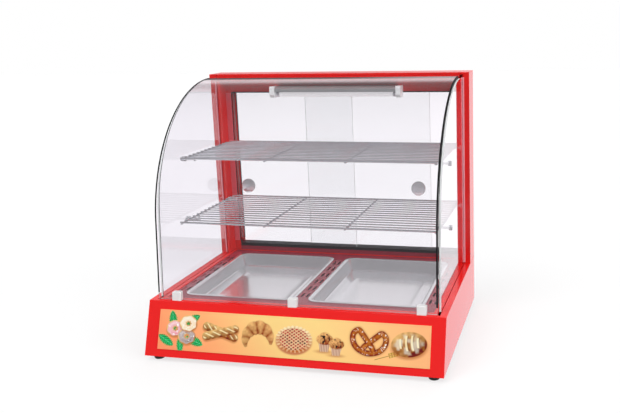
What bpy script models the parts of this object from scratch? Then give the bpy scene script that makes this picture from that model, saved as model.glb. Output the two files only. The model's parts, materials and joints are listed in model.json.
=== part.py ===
"""Countertop pastry warmer: a folded steel base with a slatted deck and two lift-out trays, a portal of two
posts and a beam that carries the lamp and the sliding rear doors, flat side glasses, a curved front glass
and two wire shelves on pegs. Metres, +Z up, the front faces -Y, the origin lies under the middle."""

import math

import bmesh
import bpy
from mathutils import Matrix, Vector

MM = 0.001

# Overall
CASE_WIDTH = 660 * MM
CASE_DEPTH = 470 * MM
CASE_HEIGHT = 580 * MM
FOOT_HEIGHT = 12 * MM
CONTROL_REACH = 18 * MM
SEAT_GAP = 0.3 * MM
CUT_OVERRUN = 4 * MM
SHEET = 1.5 * MM

# Base housing
BASE_HEIGHT = 113 * MM
FRONT_SETBACK = 39 * MM
RIM_WIDTH = 15 * MM
INNER_STRIP = 9.4 * MM
FRONT_RIM = 26 * MM
GROOVE_DEPTH = 9 * MM
BOTTOM_FLANGE = 40 * MM
DECK_STEP = 2 * MM
DECK_SHEET = 1.2 * MM
DECK_LEDGE = 5 * MM
PANEL_OVERLAP = 8 * MM
WINDOW_SIDE_MARGIN = 30 * MM
WINDOW_LOW_MARGIN = 14 * MM
WINDOW_TOP_MARGIN = 22 * MM

# Feet
FOOT_RADIUS = 12 * MM
FOOT_INSET = 24 * MM
FOOT_FRONT_INSET = 22 * MM
FOOT_TAPER = 1.5 * MM

# Picture panel on the leaning front
PICTURE_LENGTH = 601 * MM
PICTURE_HEIGHT = 85 * MM
PICTURE_LOW_MARGIN = 16.5 * MM
PICTURE_SHEET = 1 * MM

# Portal
PORTAL_DEPTH = 69 * MM
POST_WIDTH = 25 * MM
POST_WALL = 1.4 * MM
JAMB_WIDTH = 41 * MM
JAMB_SETBACK = 37 * MM
JAMB_SHEET = 2 * MM
BEAM_FACE = 15 * MM
CEILING_DROP = 14 * MM
HEADER_DROP = 20 * MM
SILL_HEIGHT = 9.5 * MM
TRACK_HEIGHT = 14.5 * MM
TRACK_GROOVE_DEPTH = 8 * MM
UPPER_GROOVE_DEPTH = 16 * MM

# Glass
GLASS_THICKNESS = 5 * MM
GLASS_INSET = 19 * MM
GLASS_FOOT_SETBACK = 6.8 * MM
GLASS_LIFT = 2 * MM
GLASS_TOP_DROP = 4.8 * MM
GLASS_LEAN = math.radians(3.8)
GLASS_TAIL_LEAN = math.radians(1.5)
GLASS_TAIL = 52 * MM
GLASS_TUCK = 8 * MM
SIDE_GLASS_SETBACK = 15 * MM
BEND_STEPS = 22

# Glass clips
CLIP_WIDTH = 20 * MM
CLIP_HEIGHT = 19 * MM
CLIP_JAW = 4 * MM
CLIP_PLACE_SHARES = (0.071, 0.5, 0.947)

# Deck slots and trays
TRAY_SIDE_MARGIN = 56 * MM
TRAY_END_MARGIN = 150 * MM
TRAY_DEPTH = 30 * MM
TRAY_FLANGE = 8 * MM
TRAY_SHEET = 1 * MM
TRAY_TAPER = 6 * MM
TRAY_CORNER = 24 * MM
TRAY_LIP = 2.4 * MM
TRAY_WEB = 28 * MM
TRAY_FRONT_MARGIN = 21 * MM
TRAY_WELL_CLEARANCE = 2 * MM
SLOT_LENGTH = 25 * MM
SLOT_WIDTH = 4.5 * MM
SLOT_PITCH_SHARE = 0.14625
SLOT_COLUMN_PITCH = 12 * MM
SLOT_COUNT = 6

# Heating under the trays
PAN_DEPTH = 62 * MM
PAN_SHEET = 1 * MM
PAN_CLEARANCE = 3 * MM
HEATER_RADIUS = 3.5 * MM
HEATER_DROP = 16 * MM
HEATER_SIDE_MARGIN = 55 * MM
HEATER_END_MARGIN = 35 * MM
HEATER_BEND = 12 * MM
HEATER_TERMINAL = 22 * MM
HEATER_LEGS = 4

# Wire shelves and their pegs
SHELF_SIDE_GAP = 35 * MM
UPPER_SHELF_HEIGHT = 407 * MM
LOWER_SHELF_HEIGHT = 264 * MM
UPPER_SHELF_FRONT = 160 * MM
LOWER_SHELF_FRONT = 138 * MM
SHELF_REAR_GAP = 20 * MM
FRAME_ROD_RADIUS = 2.3 * MM
WIRE_RADIUS = 1.6 * MM
WIRE_PITCH = 20 * MM
WELD_DEPTH = 0.9 * MM
CROSS_ROD_SHARES = (-0.5, -0.159, 0.159, 0.5)
PEG_RADIUS = 3 * MM
PEG_HEAD_RADIUS = 6 * MM
PEG_HEAD = 3 * MM
PEG_COLLAR = 4 * MM
PEG_REACH = 49 * MM
PEG_TIP_RADIUS = 5 * MM
PEG_TIP = 3 * MM
PEG_FRONT_PLACE = 205 * MM
PEG_REAR_SETBACK = 10 * MM

# Lamp under the beam
LAMP_LENGTH = 335 * MM
LAMP_PLACE = -4.5 * MM
LAMP_DEPTH = 30 * MM
LAMP_HOUSING_HEIGHT = 14.5 * MM
LAMP_CAP_LENGTH = 12 * MM
LAMP_CAP_HEIGHT = 28.5 * MM
LAMP_CAP_PROUD = 3 * MM
LAMP_TUBE_RADIUS = 6 * MM
LAMP_TUBE_DROP = 21.4 * MM
LAMP_SOCKET_DEPTH = 5 * MM

# Rear doors
DOOR_OVERLAP = 38 * MM
DOOR_GLASS = 4 * MM
DOOR_GROOVE = 5 * MM
DOOR_TRACK_PITCH = 13 * MM
DOOR_END_GAP = 2 * MM
LEFT_DOOR_OPEN = 10 * MM
RIGHT_DOOR_OPEN = 79 * MM
PULL_RADIUS = 15 * MM
PULL_RIM = 3 * MM
PULL_RIM_THICKNESS = 1.2 * MM
PULL_WALL = 1.5 * MM
PULL_INSET = 32 * MM
PULL_HEIGHT = 285 * MM

# Controls on the rear panel
CONTROL_HEIGHT = 56 * MM
THERMOSTAT_INSET = 180 * MM
INDICATOR_STEP = 58 * MM
LIGHT_SWITCH_STEP = 110 * MM
SWITCH_PITCH = 60 * MM
GLAND_INSET = 90 * MM
SPINDLE_RADIUS = 3 * MM
BUSH_WALL = 1.7 * MM
SPINDLE_CLEARANCE = 0.05 * MM
THERMOSTAT_SIDE = 36 * MM
THERMOSTAT_DEPTH = 30 * MM
SPINDLE_DEPTH = 12 * MM
KNOB_RADIUS = 19 * MM
KNOB_GRIP_RADIUS = 14.5 * MM
KNOB_SKIRT = 4 * MM
KNOB_FLUTES = 14
FLUTE_DEPTH = 0.8 * MM
BEZEL_WIDTH = 15 * MM
BEZEL_HEIGHT = 23 * MM
BEZEL_THICKNESS = 2.5 * MM
SWITCH_WALL = 1.8 * MM
SWITCH_DEPTH = 16 * MM
ROCKER_RISE = 3.6 * MM
ROCKER_DIP = 1.2 * MM
ROCKER_BODY = 6 * MM
ROCKER_TILT = math.radians(8)
ROCKER_SIDE_GAP = 0.4 * MM
INDICATOR_RADIUS = 5.5 * MM
INDICATOR_BEZEL = 7.5 * MM
INDICATOR_DOME = 5 * MM
GLAND_RADIUS = 6.5 * MM
GLAND_NUT_RADIUS = 10 * MM
GLAND_NUT = 5 * MM
GLAND_DOME = 7 * MM
GLAND_BORE_RADIUS = 3.5 * MM
PANEL_SCREW_RADIUS = 3.4 * MM
PANEL_SCREW_HEAD = 1.8 * MM
PANEL_SCREW_SHANK_RADIUS = 1.6 * MM
PANEL_SCREW_INSET = 4 * MM

# Parts on the bottom plate
BALLAST_SIZE = (90 * MM, 32 * MM, 24 * MM)
BALLAST_TAB = 12 * MM
BALLAST_INSET = (200 * MM, 106 * MM)
TERMINAL_SIZE = (56 * MM, 22 * MM, 16 * MM)
TERMINAL_INSET = (95 * MM, 76 * MM)
TERMINAL_WELL_RADIUS = 3.5 * MM
TERMINAL_WELLS = 4
VENT_LENGTH = 60 * MM
VENT_WIDTH = 5 * MM
VENT_PITCH = 14 * MM
VENT_COUNT = 5
VENT_INSET = 160 * MM

# Planes that the sizes above give
HALF_WIDTH = CASE_WIDTH / 2
FRONT_Y = -(CASE_DEPTH + CONTROL_REACH) / 2
REAR_Y = FRONT_Y + CASE_DEPTH
BASE_LOW = FOOT_HEIGHT
BASE_TOP = BASE_LOW + BASE_HEIGHT
CASE_TOP = BASE_LOW + CASE_HEIGHT
RIM_FRONT_Y = FRONT_Y + FRONT_SETBACK
FRONT_LEAN = math.atan2(FRONT_SETBACK, BASE_HEIGHT)
PORTAL_FRONT_Y = REAR_Y - PORTAL_DEPTH
JAMB_Y = PORTAL_FRONT_Y + JAMB_SETBACK
GROOVE_WIDTH = GLASS_THICKNESS + 2 * SEAT_GAP
SIDE_RIM = RIM_WIDTH + GROOVE_WIDTH + INNER_STRIP
DECK_FRONT_Y = RIM_FRONT_Y + FRONT_RIM
DECK_REAR_Y = JAMB_Y
DECK_TOP = BASE_TOP - DECK_STEP
DECK_LOW = DECK_TOP - DECK_SHEET
LEDGE_TOP = DECK_LOW - SEAT_GAP
TRAY_WIDTH = (CASE_WIDTH - TRAY_WEB) / 2 - TRAY_SIDE_MARGIN
TRAY_LENGTH = CASE_DEPTH - TRAY_END_MARGIN
TRAY_CENTRE_X = (TRAY_WEB + TRAY_WIDTH) / 2
TRAY_CENTRE_Y = DECK_FRONT_Y + TRAY_FRONT_MARGIN + TRAY_LENGTH / 2
TRAY_RIM_TOP = DECK_TOP + SEAT_GAP + TRAY_LIP
SLOT_PITCH = TRAY_LENGTH * SLOT_PITCH_SHARE
PAN_TOP = DECK_LOW - SEAT_GAP
PAN_LOW = PAN_TOP - PAN_DEPTH
HEATER_Z = TRAY_RIM_TOP - TRAY_DEPTH - HEATER_DROP
HEATER_PITCH = (TRAY_WIDTH - 2 * HEATER_SIDE_MARGIN) / (HEATER_LEGS - 1)
HEATER_LENGTH = TRAY_LENGTH - 2 * HEATER_END_MARGIN
SHELF_LENGTH = CASE_WIDTH - 2 * SHELF_SIDE_GAP
GLASS_FOOT_Y = RIM_FRONT_Y + GLASS_FOOT_SETBACK
BEAM_LOW = CASE_TOP - BEAM_FACE - CEILING_DROP - HEADER_DROP
CEILING_Z = CASE_TOP - BEAM_FACE - CEILING_DROP
PANEL_OUTER_Y = REAR_Y - SHEET - SEAT_GAP
PANEL_INNER_Y = PANEL_OUTER_Y - SHEET
CONTROL_Z = BASE_LOW + CONTROL_HEIGHT
THERMOSTAT_PLACE = HALF_WIDTH - THERMOSTAT_INSET
INDICATOR_PLACE = THERMOSTAT_PLACE - INDICATOR_STEP
LIGHT_SWITCH_PLACE = THERMOSTAT_PLACE - LIGHT_SWITCH_STEP
HEATER_SWITCH_PLACE = LIGHT_SWITCH_PLACE - SWITCH_PITCH
GLAND_PLACE = GLAND_INSET - HALF_WIDTH
SILL_TOP = BASE_TOP + SEAT_GAP + SILL_HEIGHT
TRACK_LOW = SILL_TOP + SEAT_GAP
TRACK_TOP = TRACK_LOW + TRACK_HEIGHT
TRACK_FRONT_Y = JAMB_Y + JAMB_SHEET + SEAT_GAP
TRACK_REAR_Y = REAR_Y - JAMB_SHEET - SEAT_GAP
TRACK_MID_Y = (TRACK_FRONT_Y + TRACK_REAR_Y) / 2
FRONT_TRACK_Y = TRACK_MID_Y - DOOR_TRACK_PITCH / 2
REAR_TRACK_Y = TRACK_MID_Y + DOOR_TRACK_PITCH / 2
DOOR_LIMIT = HALF_WIDTH - POST_WIDTH - DOOR_END_GAP
DOOR_WIDTH = DOOR_LIMIT + DOOR_OVERLAP / 2
DOOR_LOW = TRACK_TOP - TRACK_GROOVE_DEPTH + SEAT_GAP
UPPER_TRACK_LOW = BEAM_LOW + TRACK_GROOVE_DEPTH
DOOR_TOP = UPPER_TRACK_LOW + TRACK_GROOVE_DEPTH
LAMP_REAR_Y = JAMB_Y - SEAT_GAP
LAMP_TOP = CEILING_Z - JAMB_SHEET - SEAT_GAP
BOTTOM_PLATE_TOP = BASE_LOW + 2 * SHEET + SEAT_GAP
VENT_PLACE = HALF_WIDTH - VENT_INSET
BALLAST_PLACE = (BALLAST_INSET[0] - HALF_WIDTH, REAR_Y - BALLAST_INSET[1])
TERMINAL_PLACE = (TERMINAL_INSET[0] - HALF_WIDTH, REAR_Y - TERMINAL_INSET[1])

# Finishes: colour, metallic value, roughness
FINISHES = {
    "red_paint": ((0.78, 0.018, 0.014), 0.0, 0.28),
    "picture_film": ((1.0, 0.42, 0.16), 0.0, 0.35),
    "clear_glass": ((0.82, 0.88, 0.88), 0.0, 0.05),
    "door_glass": ((0.78, 0.84, 0.86), 0.0, 0.06),
    "chrome_wire": ((0.75, 0.76, 0.78), 1.0, 0.12),
    "stainless": ((0.72, 0.73, 0.74), 1.0, 0.22),
    "galvanised": ((0.55, 0.57, 0.58), 1.0, 0.45),
    "black_track": ((0.01, 0.01, 0.012), 0.0, 0.45),
    "black_rubber": ((0.015, 0.015, 0.015), 0.0, 0.8),
    "white_plastic": ((0.85, 0.84, 0.82), 0.0, 0.4),
    "lamp_glow": ((0.95, 0.96, 1.0), 0.0, 0.3),
    "black_plastic": ((0.02, 0.02, 0.022), 0.0, 0.35),
    "red_lens": ((0.9, 0.03, 0.02), 0.0, 0.1),
    "green_lens": ((0.03, 0.5, 0.12), 0.0, 0.15),
    "heater_sheath": ((0.28, 0.27, 0.26), 1.0, 0.5),
    "zinc_screw": ((0.6, 0.6, 0.58), 1.0, 0.3),
}


def clear_scene():
    """Remove every object of the startup scene."""
    for thing in list(bpy.data.objects):
        bpy.data.objects.remove(thing)


def finish_of(name):
    """The named finish as a Principled material, made once."""
    found = bpy.data.materials.get(name)
    if found:
        return found
    colour, metallic, roughness = FINISHES[name]
    made = bpy.data.materials.new(name)
    made.use_nodes = True
    shader = made.node_tree.nodes["Principled BSDF"]
    shader.inputs["Base Color"].default_value = (*colour, 1.0)
    shader.inputs["Metallic"].default_value = metallic
    shader.inputs["Roughness"].default_value = roughness
    made.diffuse_color = (*colour, 1.0)
    return made


def dress(thing, finish):
    """Give an object its one finish."""
    thing.data.materials.clear()
    thing.data.materials.append(finish_of(finish))
    return thing


def link_mesh(name, form):
    """Turn a bmesh into a linked object with its faces pointing out."""
    bmesh.ops.recalc_face_normals(form, faces=form.faces)
    mesh = bpy.data.meshes.new(name)
    form.to_mesh(mesh)
    form.free()
    thing = bpy.data.objects.new(name, mesh)
    bpy.context.scene.collection.objects.link(thing)
    return thing


def prism(name, outline, axis, span):
    """Extrude a closed outline along an axis. The outline's pairs are (y, z), (x, z) or (x, y)."""
    low, high = min(span), max(span)
    places = {
        "X": lambda pair, along: (along, pair[0], pair[1]),
        "Y": lambda pair, along: (pair[0], along, pair[1]),
        "Z": lambda pair, along: (pair[0], pair[1], along),
    }[axis]
    form = bmesh.new()
    near = [form.verts.new(places(pair, low)) for pair in outline]
    far = [form.verts.new(places(pair, high)) for pair in outline]
    form.faces.new(near)
    form.faces.new(far)
    count = len(outline)
    for i in range(count):
        j = (i + 1) % count
        form.faces.new((near[i], near[j], far[j], far[i]))
    return link_mesh(name, form)


def box(name, x_span, y_span, z_span):
    """A block between three pairs of limits."""
    (x0, x1), (y0, y1) = x_span, y_span
    return prism(name, [(x0, y0), (x1, y0), (x1, y1), (x0, y1)], "Z", z_span)


def lathe(name, profile, place, axis, sides):
    """Revolve a profile of (radius, height) pairs, which starts and ends on the axis, about a line."""
    form = bmesh.new()
    rings = []
    for radius, height in profile:
        if radius == 0:
            rings.append([form.verts.new((0, 0, height))])
            continue
        turns = [2 * math.pi * step / sides for step in range(sides)]
        rings.append([form.verts.new((radius * math.cos(t), radius * math.sin(t), height)) for t in turns])
    for low, high in zip(rings, rings[1:]):
        for step in range(sides):
            after = (step + 1) % sides
            corners = [low[step % len(low)], low[after % len(low)]]
            corners += [high[after % len(high)], high[step % len(high)]]
            form.faces.new(list(dict.fromkeys(corners)))
    turn = Vector((0, 0, 1)).rotation_difference(Vector(axis)).to_matrix().to_4x4()
    bmesh.ops.transform(form, matrix=Matrix.Translation(place) @ turn, verts=form.verts)
    return link_mesh(name, form)


def drum(name, place, axis, radius, length, sides):
    """A plain cylinder from a point along an axis."""
    return lathe(name, [(0, 0), (radius, 0), (radius, length), (0, length)], place, axis, sides)


def joined(name, pieces):
    """Put several loose shapes into one object, for use as one cutter or one addition."""
    form = bmesh.new()
    for piece in pieces:
        form.from_mesh(piece.data)
        bpy.data.objects.remove(piece)
    mesh = bpy.data.meshes.new(name)
    form.to_mesh(mesh)
    form.free()
    thing = bpy.data.objects.new(name, mesh)
    bpy.context.scene.collection.objects.link(thing)
    return thing


def combine(target, tool, operation):
    """Apply one Boolean to the target and remove the tool."""
    step = target.modifiers.new(operation.title(), "BOOLEAN")
    step.operation = operation
    step.solver = "EXACT"
    step.object = tool
    bpy.context.view_layer.update()
    graph = bpy.context.evaluated_depsgraph_get()
    result = bpy.data.meshes.new_from_object(target.evaluated_get(graph))
    target.modifiers.clear()
    before = target.data
    target.data = result
    bpy.data.meshes.remove(before)
    bpy.data.objects.remove(tool)
    return target


def cut(target, *tools):
    """Cut each tool out of the target."""
    for tool in tools:
        combine(target, tool, "DIFFERENCE")
    return target


def fuse(target, *tools):
    """Join each tool to the target."""
    for tool in tools:
        combine(target, tool, "UNION")
    return target


def shade_round(thing, angle=math.radians(35)):
    """Smooth shading with sharp edges kept."""
    thing.data.shade_smooth()
    thing.data.set_sharp_from_angle(angle=angle)
    return thing


def side_x(side, inset):
    """The x at a distance in from the left (side -1) or right (side +1) face of the case."""
    return side * (HALF_WIDTH - inset)


def side_span(side, near, far):
    """A pair of x limits at two distances in from one side."""
    return tuple(sorted((side_x(side, near), side_x(side, far))))


def front_face_y(z):
    """The y of the leaning front face at a height."""
    return FRONT_Y + FRONT_SETBACK * (z - BASE_LOW) / BASE_HEIGHT


def rounded_rectangle(width, length, radius, steps, centre=(0, 0)):
    """A closed outline with round corners, counter-clockwise, about a centre."""
    points = []
    for quarter, (sx, sy) in enumerate(((1, -1), (1, 1), (-1, 1), (-1, -1))):
        for step in range(steps + 1):
            turn = math.pi / 2 * (quarter - 1 + step / steps)
            x = sx * (width / 2 - radius) + radius * math.cos(turn)
            y = sy * (length / 2 - radius) + radius * math.sin(turn)
            points.append((centre[0] + x, centre[1] + y))
    return points


def tray_outline(grow, radius, steps=4, centre=(0, 0)):
    """The tray's rim outline, drawn in or let out by a distance."""
    return rounded_rectangle(TRAY_WIDTH + 2 * grow, TRAY_LENGTH + 2 * grow, radius, steps, centre)


def glass_curve(foot_y, foot_z, top_z, end_y, tail):
    """The bent glass's side view from its foot to its end: a leaning straight, an arc, a nearly level tail.

    The arc's radius and the straight's length are the ones that make the tail end at end_y and top_z."""
    tail_rise = tail * math.tan(GLASS_TAIL_LEAN)
    reach = end_y - tail - foot_y
    rise = top_z - tail_rise - foot_z
    arc_reach = math.cos(GLASS_LEAN) - math.sin(GLASS_TAIL_LEAN)
    arc_rise = math.cos(GLASS_TAIL_LEAN) - math.sin(GLASS_LEAN)
    lean = math.tan(GLASS_LEAN)
    radius = (reach - rise * lean) / (arc_reach - arc_rise * lean)
    straight = rise - radius * arc_rise
    start = (foot_y + straight * lean, foot_z + straight)
    centre = (start[0] + radius * math.cos(GLASS_LEAN), start[1] - radius * math.sin(GLASS_LEAN))
    sweep = math.pi / 2 - GLASS_TAIL_LEAN - GLASS_LEAN
    points = [(foot_y, foot_z)]
    for step in range(BEND_STEPS + 1):
        turn = GLASS_LEAN + sweep * step / BEND_STEPS
        points.append((centre[0] - radius * math.cos(turn), centre[1] + radius * math.sin(turn)))
    points.append((end_y, top_z))
    return points


def inward_of(curve, distance):
    """The same curve moved square to itself, towards the inside of the case."""
    moved = []
    for i, point in enumerate(curve):
        before = Vector(curve[max(i - 1, 0)])
        after = Vector(curve[min(i + 1, len(curve) - 1)])
        along = (after - before).normalized()
        moved.append((point[0] + along.y * distance, point[1] - along.x * distance))
    return moved


GLASS_FOOT_Z = BASE_TOP + GLASS_LIFT
GLASS_TOP_Z = CASE_TOP - GLASS_TOP_DROP
FRONT_CURVE = glass_curve(GLASS_FOOT_Y, GLASS_FOOT_Z, GLASS_TOP_Z, PORTAL_FRONT_Y + GLASS_TUCK, GLASS_TAIL)


def make_base_shell():
    """Folded housing: leaning front, two sides with a glass groove in their rims, ledge and rear window."""
    lean_sheet = SHEET / math.cos(FRONT_LEAN)
    low, high = BASE_LOW + SHEET, BASE_TOP - SHEET
    outer = [(FRONT_Y, BASE_LOW), (REAR_Y, BASE_LOW), (REAR_Y, BASE_TOP), (RIM_FRONT_Y, BASE_TOP)]
    inner = [
        (front_face_y(low) + lean_sheet, low),
        (REAR_Y - SHEET, low),
        (REAR_Y - SHEET, high),
        (front_face_y(high) + lean_sheet, high),
    ]
    shell = prism("base_shell", outer, "X", (-HALF_WIDTH, HALF_WIDTH))
    hollow = prism("hollow", inner, "X", (SHEET - HALF_WIDTH, HALF_WIDTH - SHEET))
    inside_x = HALF_WIDTH - BOTTOM_FLANGE
    under = box(
        "under",
        (-inside_x, inside_x),
        (FRONT_Y + BOTTOM_FLANGE, REAR_Y - BOTTOM_FLANGE),
        (BASE_LOW - CUT_OVERRUN, BASE_LOW + CUT_OVERRUN),
    )
    deck_x = HALF_WIDTH - SIDE_RIM
    over = box(
        "over",
        (-deck_x, deck_x),
        (DECK_FRONT_Y, DECK_REAR_Y),
        (BASE_TOP - CUT_OVERRUN, BASE_TOP + CUT_OVERRUN),
    )
    window_x = HALF_WIDTH - WINDOW_SIDE_MARGIN
    window = box(
        "window",
        (-window_x, window_x),
        (REAR_Y - CUT_OVERRUN, REAR_Y + CUT_OVERRUN),
        (BASE_LOW + WINDOW_LOW_MARGIN, BASE_TOP - WINDOW_TOP_MARGIN),
    )
    cut(shell, hollow, under, over, window)
    fuse(shell, ledge_ring())
    for side in (-1, 1):
        fuse(shell, groove_channel(side))
    groove_y = (GLASS_FOOT_Y + SHEET, PORTAL_FRONT_Y + GROOVE_DEPTH)
    for side in (-1, 1):
        span = side_span(side, RIM_WIDTH, RIM_WIDTH + GROOVE_WIDTH)
        cut(shell, box("groove", span, groove_y, (BASE_TOP - GROOVE_DEPTH, BASE_TOP + CUT_OVERRUN)))
    return dress(shell, "red_paint")


def ledge_ring():
    """The lip that hangs from the rim's inner edge and carries the deck plate."""
    x, overlap = HALF_WIDTH - SIDE_RIM, SHEET / 2
    ring = box(
        "ledge",
        (-x - SHEET, x + SHEET),
        (DECK_FRONT_Y - SHEET, DECK_REAR_Y + SHEET),
        (LEDGE_TOP - SHEET, BASE_TOP - overlap),
    )
    above = box("above", (-x, x), (DECK_FRONT_Y, DECK_REAR_Y), (LEDGE_TOP, BASE_TOP + CUT_OVERRUN))
    through = box(
        "through",
        (DECK_LEDGE - x, x - DECK_LEDGE),
        (DECK_FRONT_Y + DECK_LEDGE, DECK_REAR_Y - DECK_LEDGE),
        (LEDGE_TOP - CUT_OVERRUN, BASE_TOP + CUT_OVERRUN),
    )
    return cut(ring, above, through)


def groove_channel(side):
    """The folded channel under one side rim, before its groove is cut."""
    return box(
        "channel",
        side_span(side, RIM_WIDTH - SHEET, RIM_WIDTH + GROOVE_WIDTH + SHEET),
        (GLASS_FOOT_Y, PORTAL_FRONT_Y + GROOVE_DEPTH + SHEET),
        (BASE_TOP - GROOVE_DEPTH - SHEET, BASE_TOP - SHEET / 2),
    )


def make_bottom_plate():
    """Removable plate that lies on the bottom flange, with two groups of vent slots."""
    low = BASE_LOW + SHEET + SEAT_GAP
    front = front_face_y(low + SHEET) + 2 * SHEET
    x = HALF_WIDTH - 2 * SHEET
    plate = box("bottom_plate", (-x, x), (front, PANEL_INNER_Y - SHEET), (low, low + SHEET))
    for centre in (-VENT_PLACE, VENT_PLACE):
        vents = []
        for i in range(VENT_COUNT):
            y = (i - (VENT_COUNT - 1) / 2) * VENT_PITCH
            vents.append(
                box(
                    "vent",
                    (centre - VENT_LENGTH / 2, centre + VENT_LENGTH / 2),
                    (y - VENT_WIDTH / 2, y + VENT_WIDTH / 2),
                    (low - CUT_OVERRUN, low + CUT_OVERRUN),
                )
            )
        cut(plate, joined("vents", vents))
    return dress(plate, "galvanised")


def make_feet():
    """Four tapered rubber feet under the bottom flange."""
    top = BASE_LOW - SEAT_GAP
    profile = [
        (0, 0),
        (FOOT_RADIUS - FOOT_TAPER, 0),
        (FOOT_RADIUS, FOOT_TAPER),
        (FOOT_RADIUS, top),
        (0, top),
    ]
    for y, end in ((FRONT_Y + FOOT_FRONT_INSET, "front"), (REAR_Y - FOOT_FRONT_INSET, "rear")):
        for side, hand in ((-1, "left"), (1, "right")):
            place = (side_x(side, FOOT_INSET), y, 0)
            dress(shade_round(lathe(f"foot_{end}_{hand}", profile, place, (0, 0, 1), 20)), "black_rubber")


def make_front_picture_panel():
    """Thin printed panel on the leaning front."""
    along = Vector((math.sin(FRONT_LEAN), math.cos(FRONT_LEAN)))
    out = Vector((-math.cos(FRONT_LEAN), math.sin(FRONT_LEAN)))
    foot = Vector((FRONT_Y, BASE_LOW)) + along * PICTURE_LOW_MARGIN + out * SEAT_GAP
    corners = [
        foot,
        foot + along * PICTURE_HEIGHT,
        foot + along * PICTURE_HEIGHT + out * PICTURE_SHEET,
        foot + out * PICTURE_SHEET,
    ]
    span = (-PICTURE_LENGTH / 2, PICTURE_LENGTH / 2)
    return dress(prism("front_picture_panel", [tuple(c) for c in corners], "X", span), "picture_film")


def slot_column_places():
    """The x of every column of deck slots: a pair beside each outer tray edge and one on the web."""
    tray_outer = TRAY_WEB / 2 + TRAY_WIDTH
    beside = (tray_outer + HALF_WIDTH - SIDE_RIM) / 2
    places = []
    for centre in (-beside, 0, beside):
        places += [centre - SLOT_COLUMN_PITCH / 2, centre + SLOT_COLUMN_PITCH / 2]
    return places


def make_deck_plate():
    """The plate that the trays hang in, with short vent slots along them."""
    x = HALF_WIDTH - SIDE_RIM - SEAT_GAP
    deck = box("deck_plate", (-x, x), (DECK_FRONT_Y + SEAT_GAP, DECK_REAR_Y - SEAT_GAP), (DECK_LOW, DECK_TOP))
    through = (DECK_LOW - CUT_OVERRUN, DECK_TOP + CUT_OVERRUN)
    inset = TRAY_FLANGE - TRAY_WELL_CLEARANCE
    wells = []
    for side in (-1, 1):
        outline = tray_outline(-inset, TRAY_CORNER - inset, 4, (side * TRAY_CENTRE_X, TRAY_CENTRE_Y))
        wells.append(prism("well", outline, "Z", through))
    slots = []
    for column in slot_column_places():
        for i in range(SLOT_COUNT):
            y = TRAY_CENTRE_Y + (i - (SLOT_COUNT - 1) / 2) * SLOT_PITCH
            x_span = (column - SLOT_WIDTH / 2, column + SLOT_WIDTH / 2)
            slots.append(box("slot", x_span, (y - SLOT_LENGTH / 2, y + SLOT_LENGTH / 2), through))
    cut(deck, joined("wells", wells), joined("slots", slots))
    return dress(deck, "red_paint")


def make_tray(name, centre_x):
    """Drawn stainless tray: turned-down lip, flat flange, sloped walls and a rounded floor edge."""
    wall = TRAY_FLANGE
    floor = TRAY_FLANGE + TRAY_TAPER
    soften = TRAY_TAPER
    rim_low = TRAY_RIM_TOP - TRAY_LIP
    low = TRAY_RIM_TOP - TRAY_DEPTH
    rings = [
        (floor + soften, low),
        (floor, low + soften),
        (wall, TRAY_RIM_TOP - TRAY_SHEET),
        (TRAY_SHEET, TRAY_RIM_TOP - TRAY_SHEET),
        (TRAY_SHEET, rim_low),
        (0, rim_low),
        (0, TRAY_RIM_TOP),
        (wall + TRAY_SHEET, TRAY_RIM_TOP),
        (floor + TRAY_SHEET, low + soften),
        (floor + soften, low + TRAY_SHEET),
    ]
    form = bmesh.new()
    loops = []
    for inset, z in rings:
        outline = tray_outline(-inset, max(TRAY_CORNER - inset, soften), 4, (centre_x, TRAY_CENTRE_Y))
        loops.append([form.verts.new((x, y, z)) for x, y in outline])
    for low_loop, high_loop in zip(loops, loops[1:]):
        count = len(low_loop)
        for i in range(count):
            j = (i + 1) % count
            form.faces.new((low_loop[i], low_loop[j], high_loop[j], high_loop[i]))
    form.faces.new(loops[0])
    form.faces.new(loops[-1])
    return dress(shade_round(link_mesh(name, form)), "stainless")


def make_heat_pan():
    """Galvanised well under the deck that holds the heating elements and throws their heat up."""
    x = HALF_WIDTH - SIDE_RIM - DECK_LEDGE - PAN_CLEARANCE
    front = DECK_FRONT_Y + DECK_LEDGE + PAN_CLEARANCE
    rear = DECK_REAR_Y - DECK_LEDGE - PAN_CLEARANCE
    pan = box("heat_pan", (-x, x), (front, rear), (PAN_LOW, PAN_TOP))
    inside = box(
        "inside",
        (PAN_SHEET - x, x - PAN_SHEET),
        (front + PAN_SHEET, rear - PAN_SHEET),
        (PAN_LOW + PAN_SHEET, PAN_TOP + CUT_OVERRUN),
    )
    cut(pan, inside)
    holes = []
    for side in (-1, 1):
        for end in (-1, 1):
            place = (side * TRAY_CENTRE_X + end * heater_reach(), heater_rear_y(), PAN_LOW - CUT_OVERRUN)
            holes.append(drum("hole", place, (0, 0, 1), HEATER_RADIUS + SEAT_GAP, 2 * CUT_OVERRUN, 12))
    cut(pan, joined("holes", holes))
    return dress(pan, "galvanised")


def heater_reach():
    """Half the distance between a heater's two terminals."""
    return HEATER_PITCH * (HEATER_LEGS - 1) / 2


def heater_rear_y():
    """The y of the heaters' terminals."""
    return TRAY_CENTRE_Y + HEATER_LENGTH / 2


def arc_points(centre, radius, start, sweep, steps):
    """Points along an arc in a plane, both ends included."""
    turns = [start + sweep * step / steps for step in range(steps + 1)]
    return [(centre[0] + radius * math.cos(t), centre[1] + radius * math.sin(t)) for t in turns]


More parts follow.
